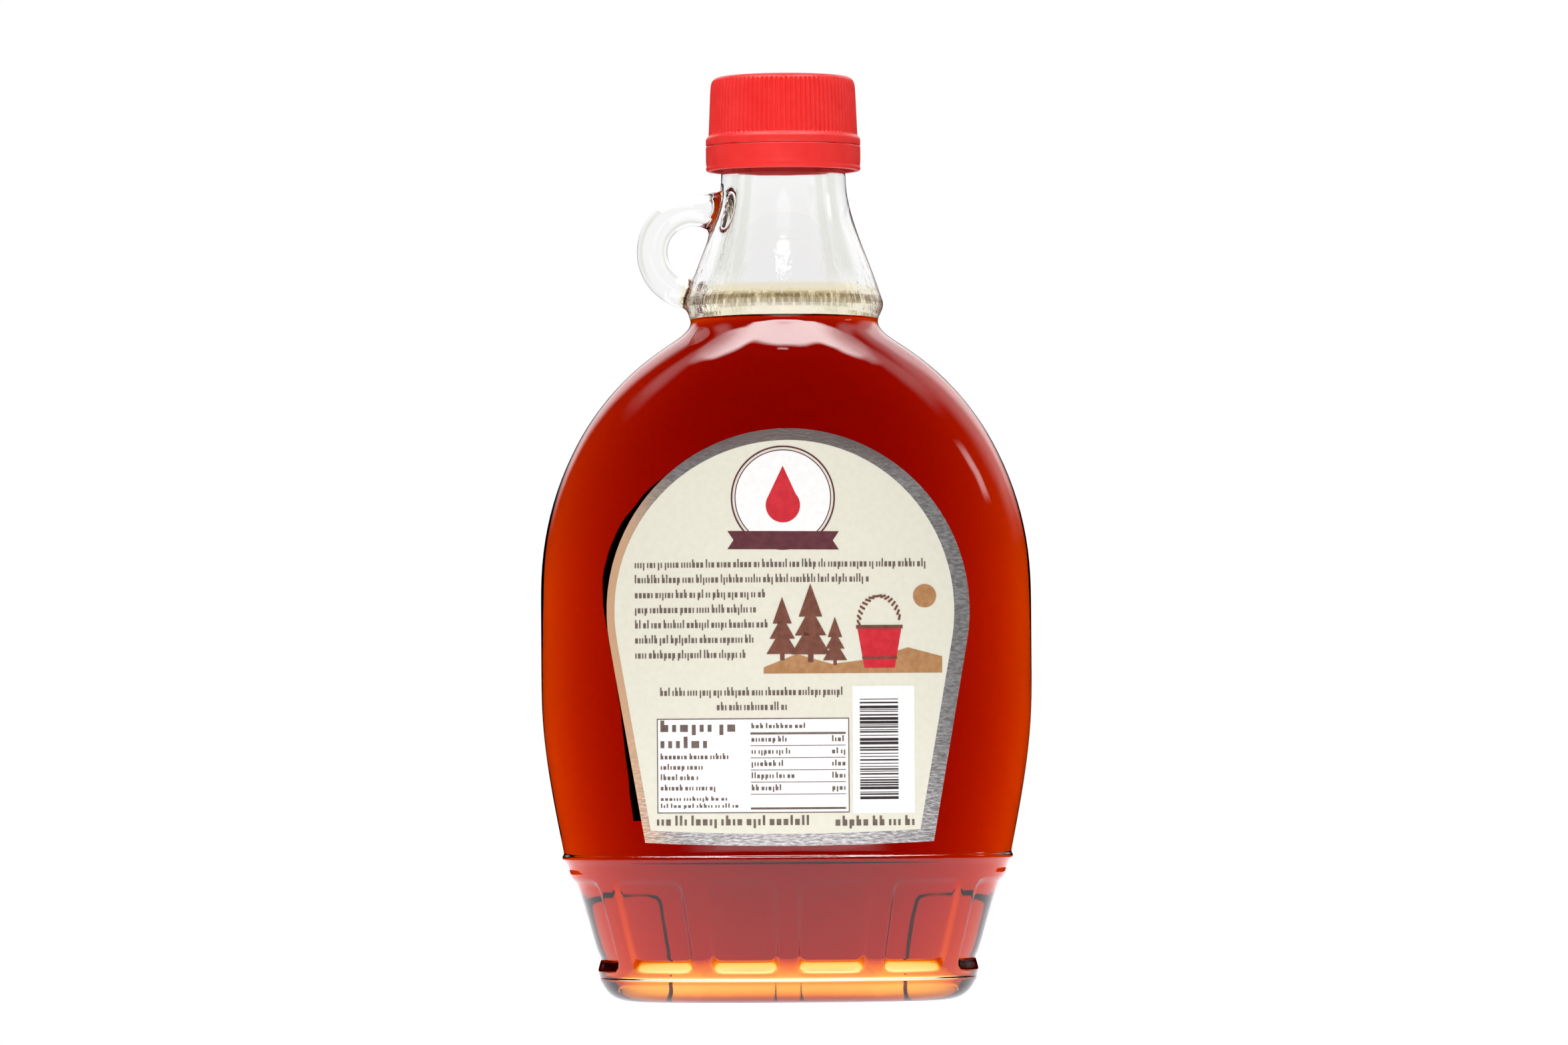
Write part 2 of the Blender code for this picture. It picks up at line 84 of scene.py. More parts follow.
# Panels round the skirt, and the raised line above them
FACE_PANEL_PITCH = 18.0 * MM
PANELS_PER_HALF_FACE = 2
RIB_HALF_BREADTH = 1.6 * MM
PANEL_FOOT_Z = 6.0 * MM
PANEL_TOP_Z = 25.0 * MM
PANEL_DEPTH = 0.95 * MM
PANEL_EDGE = 0.8 * MM
PANEL_FILLET = 0.25 * MM
PANEL_FOOT_LEDGE = 1.2 * MM
PANEL_TOP_LEDGE = 0.6 * MM
FACE_PANEL_COLUMNS = 5
SIDE_PANEL_COLUMNS = 8
RIDGE_HEIGHT = 0.55 * MM

# Inside of the glass
WALL = 3.2 * MM
FLOOR_Z = 4.6 * MM
FLOOR_CROWN_Z = 9.9 * MM
BORE_RADIUS = 9.2 * MM

# Finger loop
LOOP_CENTRE = Vector((-18.0 * MM, 0.0, 150.0 * MM))
LOOP_RADIUS = 8.4 * MM
LOOP_HALF_THICKNESS = 3.05 * MM
LOOP_HALF_BREADTH = 3.5 * MM
LOOP_SWEEP = math.radians(187.0)

# Label outlines: centre, arch radius and centre height, half width and height of the foot
NEAR_LABEL = (0.4 * MM, 35.9 * MM, 77.9 * MM, 28.5 * MM, 32.1 * MM)
FAR_LABEL = (-0.4 * MM, 29.7 * MM, 81.4 * MM, 24.8 * MM, 37.0 * MM)
NEAR_BORDERS = (1.5 * MM, 3.0 * MM, 2.3 * MM, 2.4 * MM)
FAR_BORDERS = (2.4 * MM, 2.4 * MM, 2.4 * MM, 2.4 * MM)
LABEL_FOOT_SAG = 0.7 * MM
LABEL_STEPS = 44
FOIL_FOOT = -0.04 * MM
FOIL_THICKNESS = 0.16 * MM
FIELD_LIFT = 0.15 * MM
PRINT_LIFT = 0.18 * MM
INK_LIFT = 0.21 * MM
STRIP = 2.5 * MM
WORD_STROKE = 0.27
WORD_LEVELS = (-0.5, -0.28, 0.2, 0.5)

# Cap and band
CAP_RIBS = 90
BRIDGES = 12

# Optics
WALL_BITE = 0.12 * MM
RIM_Z = FILL_Z + 0.5 * MM
SURFACE_GAP = 0.02 * MM
GLASS_IOR = 1.5
EXIT_IOR = 1.08
SKIRT_SHARE = 0.5
WET_IOR = 1.004
SYRUP_IOR = 1.455
SYRUP_ABSORBS = (46.0, 170.0, 420.0)
MARKS_BEGIN = (136.6 * MM, 138.0 * MM)
MARKS_END = (152.0 * MM, 143.0 * MM)
FILM_HEIGHT = (136.3 * MM, 142.9 * MM)
FILM_EDGE = 0.15 * MM
RING_HEIGHT = (139.0 * MM, 140.9 * MM)
RING_DARKER_ASIDE = (9.0 * MM, 17.0 * MM)
LOOP_CLEARS_X = (-21.2 * MM, -20.2 * MM)
# Facing and height of the painted grey shade in the neck's glass
SHADE_SLANT = (0.27, 0.46)
SHADE_HEIGHT = (142.0 * MM, 147.0 * MM)
# Where the heel's outer corners are painted with warm shade
HEEL_SHADE_ASIDE = (30.0 * MM, 40.0 * MM)
HEEL_SHADE_HEIGHT = (6.5 * MM, 4.5 * MM)
ROOM_LIGHT = 0.64
FLOOR_GLOW = 1.5
FLOOR_FRONT_Y = -1.35
FLOOR_BACK_Y = 0.5
FLOOR_WIDTH = 0.24
ROOM_DARK = "#b0a59c"
WHITE_BEHIND_Y = (-0.6, 0.1)
SYRUP_CROSSINGS = (4.4, 5.6)
BACKDROP_RADIANCE = ((-0.1, 0.1), (1.65, 2.0))
STEEP_SHARE = ((0.25, 0.6), (1.0, 0.5))

# The studio as glossy surfaces mirror it, in degrees: the long overhead softbox, then other bright parts.
# The softbox's edges and radiance change between two turns away from the camera's side.
# Each part has its radiance, its turn and its rise with their softness, and whether it is on both sides.
SOFTBOX_SOFTNESS = 1.4
SOFTBOX_LOW = ((3.0, 42.0), (45.3, 52.4))
SOFTBOX_HIGH = ((12.0, 36.0), (58.0, 80.0))
SOFTBOX_RADIANCE = ((44.0, 116.0), (15.0, 1.2))
STUDIO_PARTS = (
    (1.5, (145.0, 190.0), 8.0, (10.0, 38.0), 5.0, True),
    (0.9, (118.0, 150.0), 12.0, (12.0, 46.0), 6.0, False),
    (1.1, (-22.0, 22.0), 7.0, (-9.0, 1.5), 1.6, False),
    (1.1, (92.0, 118.0), 8.0, (40.0, 75.0), 6.0, True),
    (4.5, (86.0, 94.0), 2.0, (17.0, 27.0), 3.0, False),
    (7.0, (-6.0, 4.0), 1.5, (42.9, 43.6), 0.4, False),
)

# Camera, as the photograph was taken
CAMERA_PLACE = (-0.3 * MM, -1.7, 62.0 * MM)
CAMERA_AIM = (-0.3 * MM, 0.0, 95.7 * MM)
CAMERA_LENS = 194.8
CAMERA_SENSOR = 36.0
CAMERA_ROLL = -0.376


def deselect_all():
    if bpy.context.mode != "OBJECT":
        bpy.ops.object.mode_set(mode="OBJECT")
    bpy.ops.object.select_all(action="DESELECT")


def make_active(obj):
    deselect_all()
    obj.select_set(True)
    bpy.context.view_layer.objects.active = obj


def edit(obj):
    make_active(obj)
    bpy.ops.object.mode_set(mode="EDIT")


def edit_all(obj):
    edit(obj)
    bpy.ops.mesh.select_all(action="SELECT")


def leave_edit():
    bpy.ops.object.mode_set(mode="OBJECT")


def deselect_mesh(obj, mode="VERT"):
    edit(obj)
    bpy.ops.mesh.select_mode(type=mode)
    bpy.ops.mesh.select_all(action="DESELECT")
    leave_edit()


def smooth(obj):
    make_active(obj)
    bpy.ops.object.shade_smooth()


def join_pieces(parts):
    """Joins pieces into the first of them."""
    deselect_all()
    for part in parts:
        part.select_set(True)
    bpy.context.view_layer.objects.active = parts[0]
    if len(parts) > 1:
        bpy.ops.object.join()
    return bpy.context.object


def place(obj):
    """Puts the object's place, turn and size into its mesh."""
    make_active(obj)
    bpy.ops.object.transform_apply(location=True, rotation=True, scale=True)


def apply_modifier(obj, kind, **settings):
    make_active(obj)
    modifier = obj.modifiers.new(kind.lower(), kind)
    for name, value in settings.items():
        setattr(modifier, name, value)
    bpy.ops.object.modifier_apply(modifier=modifier.name)


def close_and_face_out(obj):
    """Merges the seams of a closed piece and turns its faces outwards."""
    edit_all(obj)
    bpy.ops.mesh.remove_doubles(threshold=0.002 * MM)
    bpy.ops.mesh.normals_make_consistent(inside=False)
    if bmesh.from_edit_mesh(obj.data).calc_volume(signed=True) < 0:
        bpy.ops.mesh.flip_normals()
    leave_edit()


def ease(z, low, high):
    """A smooth curve from low = (z, value, slope) to high."""
    span = high[0] - low[0]
    t = min(max((z - low[0]) / span, 0.0), 1.0)
    start = (2 * t**3 - 3 * t**2 + 1) * low[1] + (t**3 - 2 * t**2 + t) * span * low[2]
    end = (3 * t**2 - 2 * t**3) * high[1] + (t**3 - t**2) * span * high[2]
    return start + end


def neck_radius(z):
    if z <= COLLAR_Z:
        return ease(z, (CREASE_Z, CREASE_RADIUS, 0.0), (COLLAR_Z, COLLAR_RADIUS, 0.0))
    if z <= FLARE_FOOT_Z:
        return ease(z, (COLLAR_Z, COLLAR_RADIUS, 0.0), (FLARE_FOOT_Z, FLARE_FOOT_RADIUS, FLARE_SLOPE))
    return ease(z, (FLARE_FOOT_Z, FLARE_FOOT_RADIUS, FLARE_SLOPE), (NECK_Z, NECK_RADIUS, 0.0))


def shoulder_half_width(z):
    """A quarter ellipse from the widest stretch up towards the neck."""
    return BODY_HALF_WIDTH * math.sqrt(1 - ((z - WIDEST_TOP_Z) / SHOULDER_RISE) ** 2)


def half_width(z):
    if z < RIDGE_Z:
        share = max(z - HEEL_TOP_Z, 0.0) / (RIDGE_Z - HEEL_TOP_Z)
        return HEEL_HALF_WIDTH + share * (RIDGE_HALF_WIDTH - HEEL_HALF_WIDTH)
    if z < WIDEST_LOW_Z:
        return ease(z, (RIDGE_Z, RIDGE_HALF_WIDTH, 0.2), (WIDEST_LOW_Z, BODY_HALF_WIDTH, 0.0))
    if z < WIDEST_TOP_Z:
        return BODY_HALF_WIDTH
    if z < SHOULDER_END_Z:
        return shoulder_half_width(z)
    if z < CREASE_Z:
        end = shoulder_half_width(SHOULDER_END_Z)
        slope = -(BODY_HALF_WIDTH**2) * (SHOULDER_END_Z - WIDEST_TOP_Z) / (SHOULDER_RISE**2 * end)
        return ease(z, (SHOULDER_END_Z, end, slope), (CREASE_Z, CREASE_RADIUS, 0.0))
    return neck_radius(z)


def half_depth(z):
    if z < RIDGE_Z:
        share = max(z - HEEL_TOP_Z, 0.0) / (RIDGE_Z - HEEL_TOP_Z)
        return HEEL_HALF_DEPTH + share * (RIDGE_HALF_DEPTH - HEEL_HALF_DEPTH)
    if z < WIDEST_LOW_Z:
        return ease(z, (RIDGE_Z, RIDGE_HALF_DEPTH, 0.03), (WIDEST_LOW_Z, BODY_HALF_DEPTH, 0.0))
    if z < SHOULDER_START_Z:
        return BODY_HALF_DEPTH
    if z < CREASE_Z:
        share = (z - SHOULDER_START_Z) / (CREASE_Z - SHOULDER_START_Z)
        return BODY_HALF_DEPTH - (BODY_HALF_DEPTH - CREASE_RADIUS) * share**3
    return neck_radius(z)


def squareness(z):
    return ease(z, (SHOULDER_START_Z, BODY_SQUARENESS, 0.0), (CREASE_Z, ROUND_SQUARENESS, 0.0))


def oval(z, wide, deep, power, angle):
    across = math.copysign(abs(math.cos(angle)) ** (2 / power), math.cos(angle))
    back = math.copysign(abs(math.sin(angle)) ** (2 / power), math.sin(angle))
    return Vector((wide * across, deep * back, z))


def skin_point(z, angle):
    return oval(z, half_width(z), half_depth(z), squareness(z), angle)


def row_point(row, angle):
    """A point of a row, which is (height, half width, half depth, squareness)."""
    return oval(*row, angle)


def skin_angle(point):
    """The angle on the flask's section at which a point of its skin lies."""
    power = squareness(point.z) / 2
    across = math.copysign((abs(point.x) / half_width(point.z)) ** power, point.x)
    back = math.copysign((abs(point.y) / half_depth(point.z)) ** power, point.y)
    return math.atan2(back, across)


def skin_depth(x, z):
    """How far the skin stands from the XZ plane at a place on a broad face."""
    power = squareness(z)
    return half_depth(z) * (1 - (abs(x) / half_width(z)) ** power) ** (1 / power)


def angle_at_arc(arc, z):
    """The angle whose point lies a given length round the skin from the middle of the -Y face."""
    angle = FRONT_ANGLE
    step = math.radians(0.1)
    point = skin_point(z, angle)
    gone = 0.0
    while gone < arc and angle < 0.0:
        angle += step
        after = skin_point(z, angle)
        gone += (after - point).length
        point = after
    return angle


def rib_angles():
    """The two edges of each rib in a quarter of the skirt, from the -Y face's middle to the +X side."""
    level = (PANEL_TOP_Z + PANEL_FOOT_Z) / 2
    edges = []
    for k in range(PANELS_PER_HALF_FACE + 1):
        middle = k * FACE_PANEL_PITCH
        low = angle_at_arc(middle - RIB_HALF_BREADTH, level) if k else None
        edges.append((low, angle_at_arc(middle + RIB_HALF_BREADTH, level)))
    return edges


def body_angles():
    """The columns of the flask's grid: the edges of its ribs, and even steps across the panels."""
    ribs = rib_angles()
    quarter = [ribs[0][1]]
    for (_, start), (end, after) in zip(ribs, ribs[1:]):
        quarter += [start + (end - start) * (i + 1) / FACE_PANEL_COLUMNS for i in range(FACE_PANEL_COLUMNS)]
        quarter.append(after)
    start = ribs[-1][1]
    half_columns = SIDE_PANEL_COLUMNS // 2
    quarter += [start * (1 - (i + 1) / half_columns) for i in range(half_columns)]
    half = quarter + [-angle for angle in reversed(quarter[:-1])]
    return half + [angle + math.pi for angle in half]


def wrap_grid(name, rows, angles, point, finish_of=None):
    """A grid wrapped round into a closed shape. point(row, angle) gives the place of each of its vertices.

    finish_of(row) gives the number of the finish that the faces above a row take.
    """
    bpy.ops.mesh.primitive_grid_add(x_subdivisions=len(angles), y_subdivisions=len(rows) - 1, size=1.0)
    obj = bpy.context.object
    obj.name = name
    obj.data.name = name
    columns = len(angles) + 1
    for index, vert in enumerate(obj.data.vertices):
        row, column = divmod(index, columns)
        vert.co = point(rows[row], angles[column % len(angles)])
    if finish_of:
        for index, face in enumerate(obj.data.polygons):
            face.material_index = finish_of(rows[index // len(angles)], rows[index // len(angles) + 1])
    close_and_face_out(obj)
    return obj


def steps(low, high, count):
    """Even steps after low, up to high."""
    return [low + (high - low) * (i + 1) / count for i in range(count)]


def outer_rows():
    """(z, inset, reach) up the outside of the glass, from the middle of its foot to its lip."""
    rows = [(2.6 * MM, 0.90), (2.4 * MM, 0.75), (1.7 * MM, 0.60)]
    rows = [(z, share * HEEL_HALF_DEPTH, 0.0) for z, share in rows]
    foot = ((0.8, 10.0), (0.1, 8.4), (0.0, 7.6), (0.0, 6.9), (0.0, 6.1), (0.1, 5.2))
    heel = ((0.35, 4.1), (0.9, 2.8), (1.8, 1.7), (2.9, 0.9), (3.8, 0.42), (4.3, 0.1), (4.6, 0.02))
    heel += ((4.9, 0.06), (5.3, 0.04))
    rows += [(z * MM, inset * MM, 0.0) for z, inset in foot + heel]
    rows += [(z, 0.0, 0.0) for z in [PANEL_FOOT_Z] + steps(PANEL_FOOT_Z, PANEL_TOP_Z, 5)]
    rows += [(z * MM, 0.0, 0.0) for z in (26.4, 27.7)]
    rows += [(RIDGE_Z - 0.45 * MM, 0.0, RIDGE_HEIGHT), (RIDGE_Z + 0.45 * MM, 0.0, RIDGE_HEIGHT)]
    rows += [(z * MM, 0.0, 0.0) for z in (29.45, 30.3, 33.5)]
    rows += [(z, 0.0, 0.0) for z in steps(33.5 * MM, 112.0 * MM, 16)]
    rows += [(z, 0.0, 0.0) for z in steps(112.0 * MM, 130.0 * MM, 6)]
    heights = (131.8, 133.2, 134.3, 135.2, 135.9, 136.6, 137.4, 138.3, 139.3, 140.2, 141.2, 142.6)
    rows += [(z * MM, 0.0, 0.0) for z in heights]
    rows += [(z, 0.0, 0.0) for z in steps(142.6 * MM, NECK_Z, 8)]
    return rows


def inner_radius(z):
    """The round inside of the neck."""
    sizes = ((135.5, 15.9), (140.0, 15.5), (143.0, 14.3), (148.0, 12.3), (154.0, 10.7))
    sizes += ((161.0, 9.5), (167.0, 9.2))
    for (low, wide), (high, narrow) in zip(sizes, sizes[1:]):
        if z <= high * MM:
            return (wide + (narrow - wide) * (z / MM - low) / (high - low)) * MM
    return BORE_RADIUS


def inner_rows(top_z, grow):
    """(z, half width, half depth) up the inside of the glass from its floor's middle, moved out by grow."""
    corner = ((4.9, 11.5), (4.3, 8.8), (3.1, 6.8), (1.5, 5.2), (0.4, 3.9), (0.0, 2.9), (0.3, 1.9))
    corner += ((1.3, 1.1), (3.0, 0.5), (5.5, 0.12), (8.5, 0.0))
    rows = [(FLOOR_CROWN_Z - grow, 0.0, 0.0), (FLOOR_CROWN_Z - 0.1 * MM - grow, 12.0 * MM, 3.0 * MM)]
    for rise, inset in corner:
        z = FLOOR_Z + rise * MM
        less = WALL + inset * MM - grow
        rows.append((z - grow, half_width(z) - less, half_depth(z) - less))
    heights = steps(FLOOR_Z + 8.5 * MM, 112.0 * MM, 18) + steps(112.0 * MM, 130.0 * MM, 5)
    heights += [132.0 * MM, 133.6 * MM]
    rows += [(z, half_width(z) - WALL + grow, half_depth(z) - WALL + grow) for z in heights]
    heights = [135.2 * MM, 136.2 * MM, RIM_Z] + steps(RIM_Z, 167.0 * MM, 13)
    heights += [LIP_Z - 3.0 * MM]
    for z in heights:
        radius = inner_radius(z) + grow
        if z < top_z:
            rows.append((z, radius, radius))
    return rows


def make_outer_glass():
    """The flask from its foot's middle up its outside, over its lip and down its inside to its floor."""
    rows = [(0.0026, 0.0, 0.0, ROUND_SQUARENESS)]
    for z, inset, reach in outer_rows():
        less = inset - reach
        rows.append((z, max(half_width(z) - less, 0.0), max(half_depth(z) - less, 0.0), squareness(z)))
    lip = ((174.0, 12.45), (181.6, 12.45), (182.8, 12.2), (183.2, 11.4), (183.2, 10.2), (182.8, 9.4))
    rows += [(z * MM, radius * MM, radius * MM, ROUND_SQUARENESS) for z, radius in lip]
    inside = [(z, wide, deep, squareness(z)) for z, wide, deep in inner_rows(LIP_Z, 0.0)]
    rows += reversed(inside)
    lip_row = max(rows, key=lambda row: row[0])

    def finish_of(row, after):
        wet = rows.index(row) > rows.index(lip_row) and max(row[0], after[0]) <= RIM_Z
        return 1 if wet else 0

    glass = wrap_grid("flask_glass", rows, body_angles(), row_point, finish_of)
    deselect_mesh(glass, "FACE")
    ribs = rib_angles()
    for face in glass.data.polygons:
        centre = face.center
        turned = abs(skin_angle(centre)) if centre.z < PANEL_TOP_Z else 0.0
        folded = -min(turned, math.pi - turned)
        on_rib = any((low if low is not None else -math.pi) < folded < high for low, high in ribs)
        level = PANEL_FOOT_Z < centre.z < PANEL_TOP_Z
        near_skin = level and (centre.xy - skin_point(centre.z, skin_angle(centre)).xy).length < 0.8 * MM
        face.select = bool(near_skin and not on_rib)
    edit(glass)
    for thickness, depth in ((PANEL_FILLET, 0.0), (PANEL_EDGE, -PANEL_DEPTH), (PANEL_FILLET, 0.0)):
        bpy.ops.mesh.inset(thickness=thickness, depth=depth, use_even_offset=True)
    leave_edit()
    for vert in glass.data.vertices:
        sunk = (vert.co.xy - skin_point(vert.co.z, skin_angle(vert.co)).xy).length
        if not 0.6 * MM < sunk < 1.3 * MM:
            continue
        if PANEL_FOOT_Z < vert.co.z < PANEL_FOOT_Z + 2.0 * MM:
            vert.co.z += PANEL_FOOT_LEDGE
        elif PANEL_TOP_Z - 2.0 * MM < vert.co.z < PANEL_TOP_Z:
            vert.co.z -= PANEL_TOP_LEDGE
    apply_modifier(glass, "SUBSURF", levels=1, render_levels=1)
    return glass


def make_loop():
    """The finger loop: a rod spun round the loop's middle, with its top end drawn on into the neck."""
    top = LOOP_CENTRE + Vector((0.0, 0.0, LOOP_RADIUS))
    bpy.ops.mesh.primitive_circle_add(
        vertices=28, radius=1.0, location=top, rotation=(0.0, math.pi / 2, 0.0)
    )
    loop = bpy.context.object
    loop.name = "loop_rod"
    loop.scale = (LOOP_HALF_THICKNESS, LOOP_HALF_BREADTH, 1.0)
    place(loop)
    edit_all(loop)
    bpy.ops.mesh.spin(steps=40, angle=LOOP_SWEEP, center=LOOP_CENTRE, axis=(0.0, 1.0, 0.0))
    bpy.ops.mesh.edge_face_add()
    bpy.ops.mesh.select_all(action="DESELECT")
    leave_edit()
    for vert in loop.data.vertices:
        vert.select = abs(vert.co.x - top.x) < 0.01 * MM and vert.co.z > LOOP_CENTRE.z
    edit(loop)
    bpy.ops.mesh.extrude_region_move(TRANSFORM_OT_translate={"value": (6.0 * MM, 0.0, 0.0)})
    bpy.ops.mesh.edge_face_add()
    leave_edit()
    close_and_face_out(loop)
    return loop


def add_loop_to(glass):
    """Melts the finger loop into the neck and the collar."""
    loop = make_loop()
    make_active(glass)
    join = glass.modifiers.new("join_loop", "BOOLEAN")
    join.operation = "UNION"
    join.solver = "EXACT"
    join.object = loop
    bpy.ops.object.modifier_apply(modifier=join.name)
    bpy.data.objects.remove(loop)
    deselect_mesh(glass)
    for vert in glass.data.vertices:
        place_now = vert.co
        outside = place_now.xy.length > neck_radius(max(place_now.z, CREASE_Z)) - 0.6 * MM
        level = CREASE_Z < place_now.z < NECK_Z + 4.0 * MM
        if not (outside and level and place_now.x < 0):
            continue
        ring = math.hypot(place_now.x - LOOP_CENTRE.x, place_now.z - LOOP_CENTRE.z)
        near_rod = abs(ring - LOOP_RADIUS) < LOOP_HALF_THICKNESS + 1.2 * MM
        near_rod = near_rod and abs(place_now.y) < LOOP_HALF_BREADTH + 1.2 * MM
        near_neck = place_now.xy.length < neck_radius(max(place_now.z, CREASE_Z)) + 1.2 * MM
        vert.select = bool(near_rod and near_neck)
    edit(glass)
    bpy.ops.mesh.vertices_smooth(factor=0.5, repeat=10)
    leave_edit()


def make_glass():
    glass = make_outer_glass()
    add_loop_to(glass)
    smooth(glass)
    glass.data.materials.append(flint_glass("moulded_flint_glass", GLASS_IOR, EXIT_IOR))
    glass.data.materials.append(flint_glass("flint_glass_wet_with_syrup", WET_IOR, WET_IOR))
    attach(glass, "root")
    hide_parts("glass_bottle")
    return glass


def make_syrup():
    """The syrup, which reaches just into the wall, and its surface, which curls up the glass."""
    wall = inner_radius(RIM_Z) + WALL_BITE
    top = []
    for rise, inset in ((0.4, 0.2), (0.18, 0.7), (0.05, 1.5), (0.0, 3.0), (0.0, 8.0), (0.0, 15.0)):
        radius = max(wall - inset * MM, 0.0)
        top.append((FILL_Z + rise * MM, radius, radius, ROUND_SQUARENESS))
    top.append((FILL_Z, 0.0, 0.0, ROUND_SQUARENESS))
    sides = [(z, wide, deep, squareness(z)) for z, wide, deep in inner_rows(RIM_Z + 0.01 * MM, WALL_BITE)]

    def point_above(row, angle):
        return row_point(row, angle) + Vector((0.0, 0.0, SURFACE_GAP))

    syrup = wrap_grid("syrup_fill", sides + top, body_angles(), row_point)
    surface = wrap_grid("syrup_surface", sides[-1:] + top, body_angles(), point_above)
    for piece in (syrup, surface):
        apply_modifier(piece, "SUBSURF", levels=1, render_levels=1)
        smooth(piece)
        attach(piece, "root")
    syrup.data.materials.append(amber_syrup())
    surface.data.materials.append(syrup_surface())
    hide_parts("syrup")
    return syrup


def turn_profile(name, profile, columns):
    """A closed ring of (radius, z) points in millimetres, spun round the flask's axis."""
    bpy.ops.mesh.primitive_circle_add(vertices=len(profile), radius=1.0)
    obj = bpy.context.object
    obj.name = name
    obj.data.name = name
    for vert, (radius, z) in zip(obj.data.vertices, profile):
        vert.co = (radius * MM, 0.0, z * MM)
    edit_all(obj)
    bpy.ops.mesh.spin(steps=columns, angle=TURN, center=(0.0, 0.0, 0.0), axis=(0.0, 0.0, 1.0))
    bpy.ops.mesh.remove_doubles(threshold=0.002 * MM)
    bpy.ops.mesh.delete_loose()
    leave_edit()
    close_and_face_out(obj)
    return obj


def make_cap():
    """The ribbed screw cap, one moulding, hollow over the lip."""
    crown = ((0.0, 185.1), (9.0, 185.1), (12.4, 185.08), (13.1, 184.98), (13.7, 184.72), (14.15, 184.3))
    ribs = ((14.42, 183.7), (14.55, 182.8), (14.7, 179.4), (14.82, 176.2), (14.93, 173.75), (14.98, 173.2))
    ledge = ((15.12, 173.0), (15.38, 172.75), (15.5, 172.45), (15.5, 171.5), (15.49, 171.3), (15.4, 171.24))
    inside = ((13.3, 171.24), (13.2, 171.7), (13.2, 183.2), (12.8, 183.6), (0.0, 183.6))
    cap = turn_profile("ribbed_cap", crown + ribs + ledge + inside, 2 * CAP_RIBS)
    deselect_mesh(cap, "FACE")
    for face in cap.data.polygons:
        centre = face.center
        level = 173.3 * MM < centre.z < 184.0 * MM and centre.xy.length > 14.0 * MM
        column = round(math.atan2(centre.y, centre.x) / (TURN / (2 * CAP_RIBS)) - 0.5)
        face.select = bool(level and column % 2 == 0)
    edit(cap)
    bpy.ops.mesh.inset(thickness=0.12 * MM, depth=-0.36 * MM, use_even_offset=True)
    leave_edit()
    apply_modifier(cap, "SUBSURF", levels=1, render_levels=1)
    smooth(cap)
    cap.data.materials.append(moulded_red("injection_moulded_red_polypropylene"))
    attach(cap, "root")
    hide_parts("cap")
    return cap


def make_band():
    """The tamper band under the cap, and the bridges that hold it to the cap across the gap."""
    profile = (
        (14.2, 171.1), (14.2, 166.25), (14.35, 166.1), (15.0, 166.1), (15.3, 166.18), (15.48, 166.4),
        (15.5, 166.7), (15.38, 167.0), (15.38, 167.3), (15.47, 167.6), (15.5, 168.4), (15.5, 170.6),
        (15.5, 171.0), (15.4, 171.12),
    )
    band = turn_profile("tamper_ring", profile, 180)
    apply_modifier(band, "SUBSURF", levels=1, render_levels=1)
    smooth(band)
    band.data.materials.append(moulded_red("smooth_red_polypropylene"))
    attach(band, "root")
    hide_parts("tamper_band")
    bridges = []
    for i in range(BRIDGES):
        angle = TURN * (i + 0.5) / BRIDGES
        spot = (14.9 * MM * math.cos(angle), 14.9 * MM * math.sin(angle), 171.28 * MM)
        bpy.ops.mesh.primitive_cube_add(size=1.0, location=spot, rotation=(0.0, 0.0, angle))
        bridge = bpy.context.object
        bridge.scale = (0.7 * MM, 0.8 * MM, 0.6 * MM)
        place(bridge)
        apply_modifier(bridge, "BEVEL", width=0.1 * MM, segments=2)
        bridges.append(bridge)
    joined = join_pieces(bridges)
    joined.name = "band_bridges"
    joined.data.materials.clear()
    joined.data.materials.append(band.data.materials[0])
    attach(joined, "root")
    return band


def label_edge(shape, radius, z):
    """Half the label's width at a height: slanted sides below, an arch of the given radius above."""
    _, _, arch_z, foot, foot_z = shape
    rise = arch_z - foot_z
    side_end = math.atan2(-rise, foot) + math.acos(radius / math.hypot(foot, rise))
    side_end_reach = radius * math.cos(side_end)
    side_end_z = arch_z + radius * math.sin(side_end)
    if z < side_end_z:
        return foot + (z - foot_z) / (side_end_z - foot_z) * (side_end_reach - foot)
    return math.sqrt(max(radius**2 - (z - arch_z) ** 2, 0.0))


def label_sheet(name, side, shape, borders, lift, thickness=0.0):
    """A sheet on the flask's skin within a label's outline, less borders (left, right, top, foot)."""
    centre_x, radius, arch_z, _, foot_z = shape
    left, right, top, foot = borders
    top_z = arch_z + radius - top
    foot_z += foot
    bpy.ops.mesh.primitive_grid_add(x_subdivisions=LABEL_STEPS, y_subdivisions=LABEL_STEPS, size=1.0)
    sheet = bpy.context.object
    sheet.name = name
    sheet.data.name = name
    for index, vert in enumerate(sheet.data.vertices):
        row, column = divmod(index, LABEL_STEPS + 1)
        share = row / LABEL_STEPS
        share = math.sin(0.5 * math.pi * share) if row > LABEL_STEPS // 2 else share * math.sqrt(2)
        height = foot_z + (top_z - foot_z) * min(share, 1.0)
        across = 2 * column / LABEL_STEPS - 1
        border = right if across > 0 else left
        if height > arch_z:
            stretch = min((height - arch_z) / (top_z - arch_z), 1.0)
            reach = label_edge(shape, radius - border, arch_z + stretch * (radius - border))
        else:
            reach = label_edge(shape, radius, height) - border
        x = centre_x + across * reach
        sag = LABEL_FOOT_SAG * (1 - across**2) * max(1 - (height - foot_z) / (20 * MM), 0.0)
        vert.co = (x, side * (skin_depth(x, height - sag) + lift), height - sag)
    edit_all(sheet)
    bpy.ops.mesh.remove_doubles(threshold=0.004 * MM)
    leave_edit()
    turn_outwards(sheet, side)
    if thickness:
        apply_modifier(sheet, "SOLIDIFY", thickness=thickness, offset=1.0)
    make_active(sheet)
    bpy.ops.object.shade_smooth_by_angle(angle=math.radians(40))
    return sheet


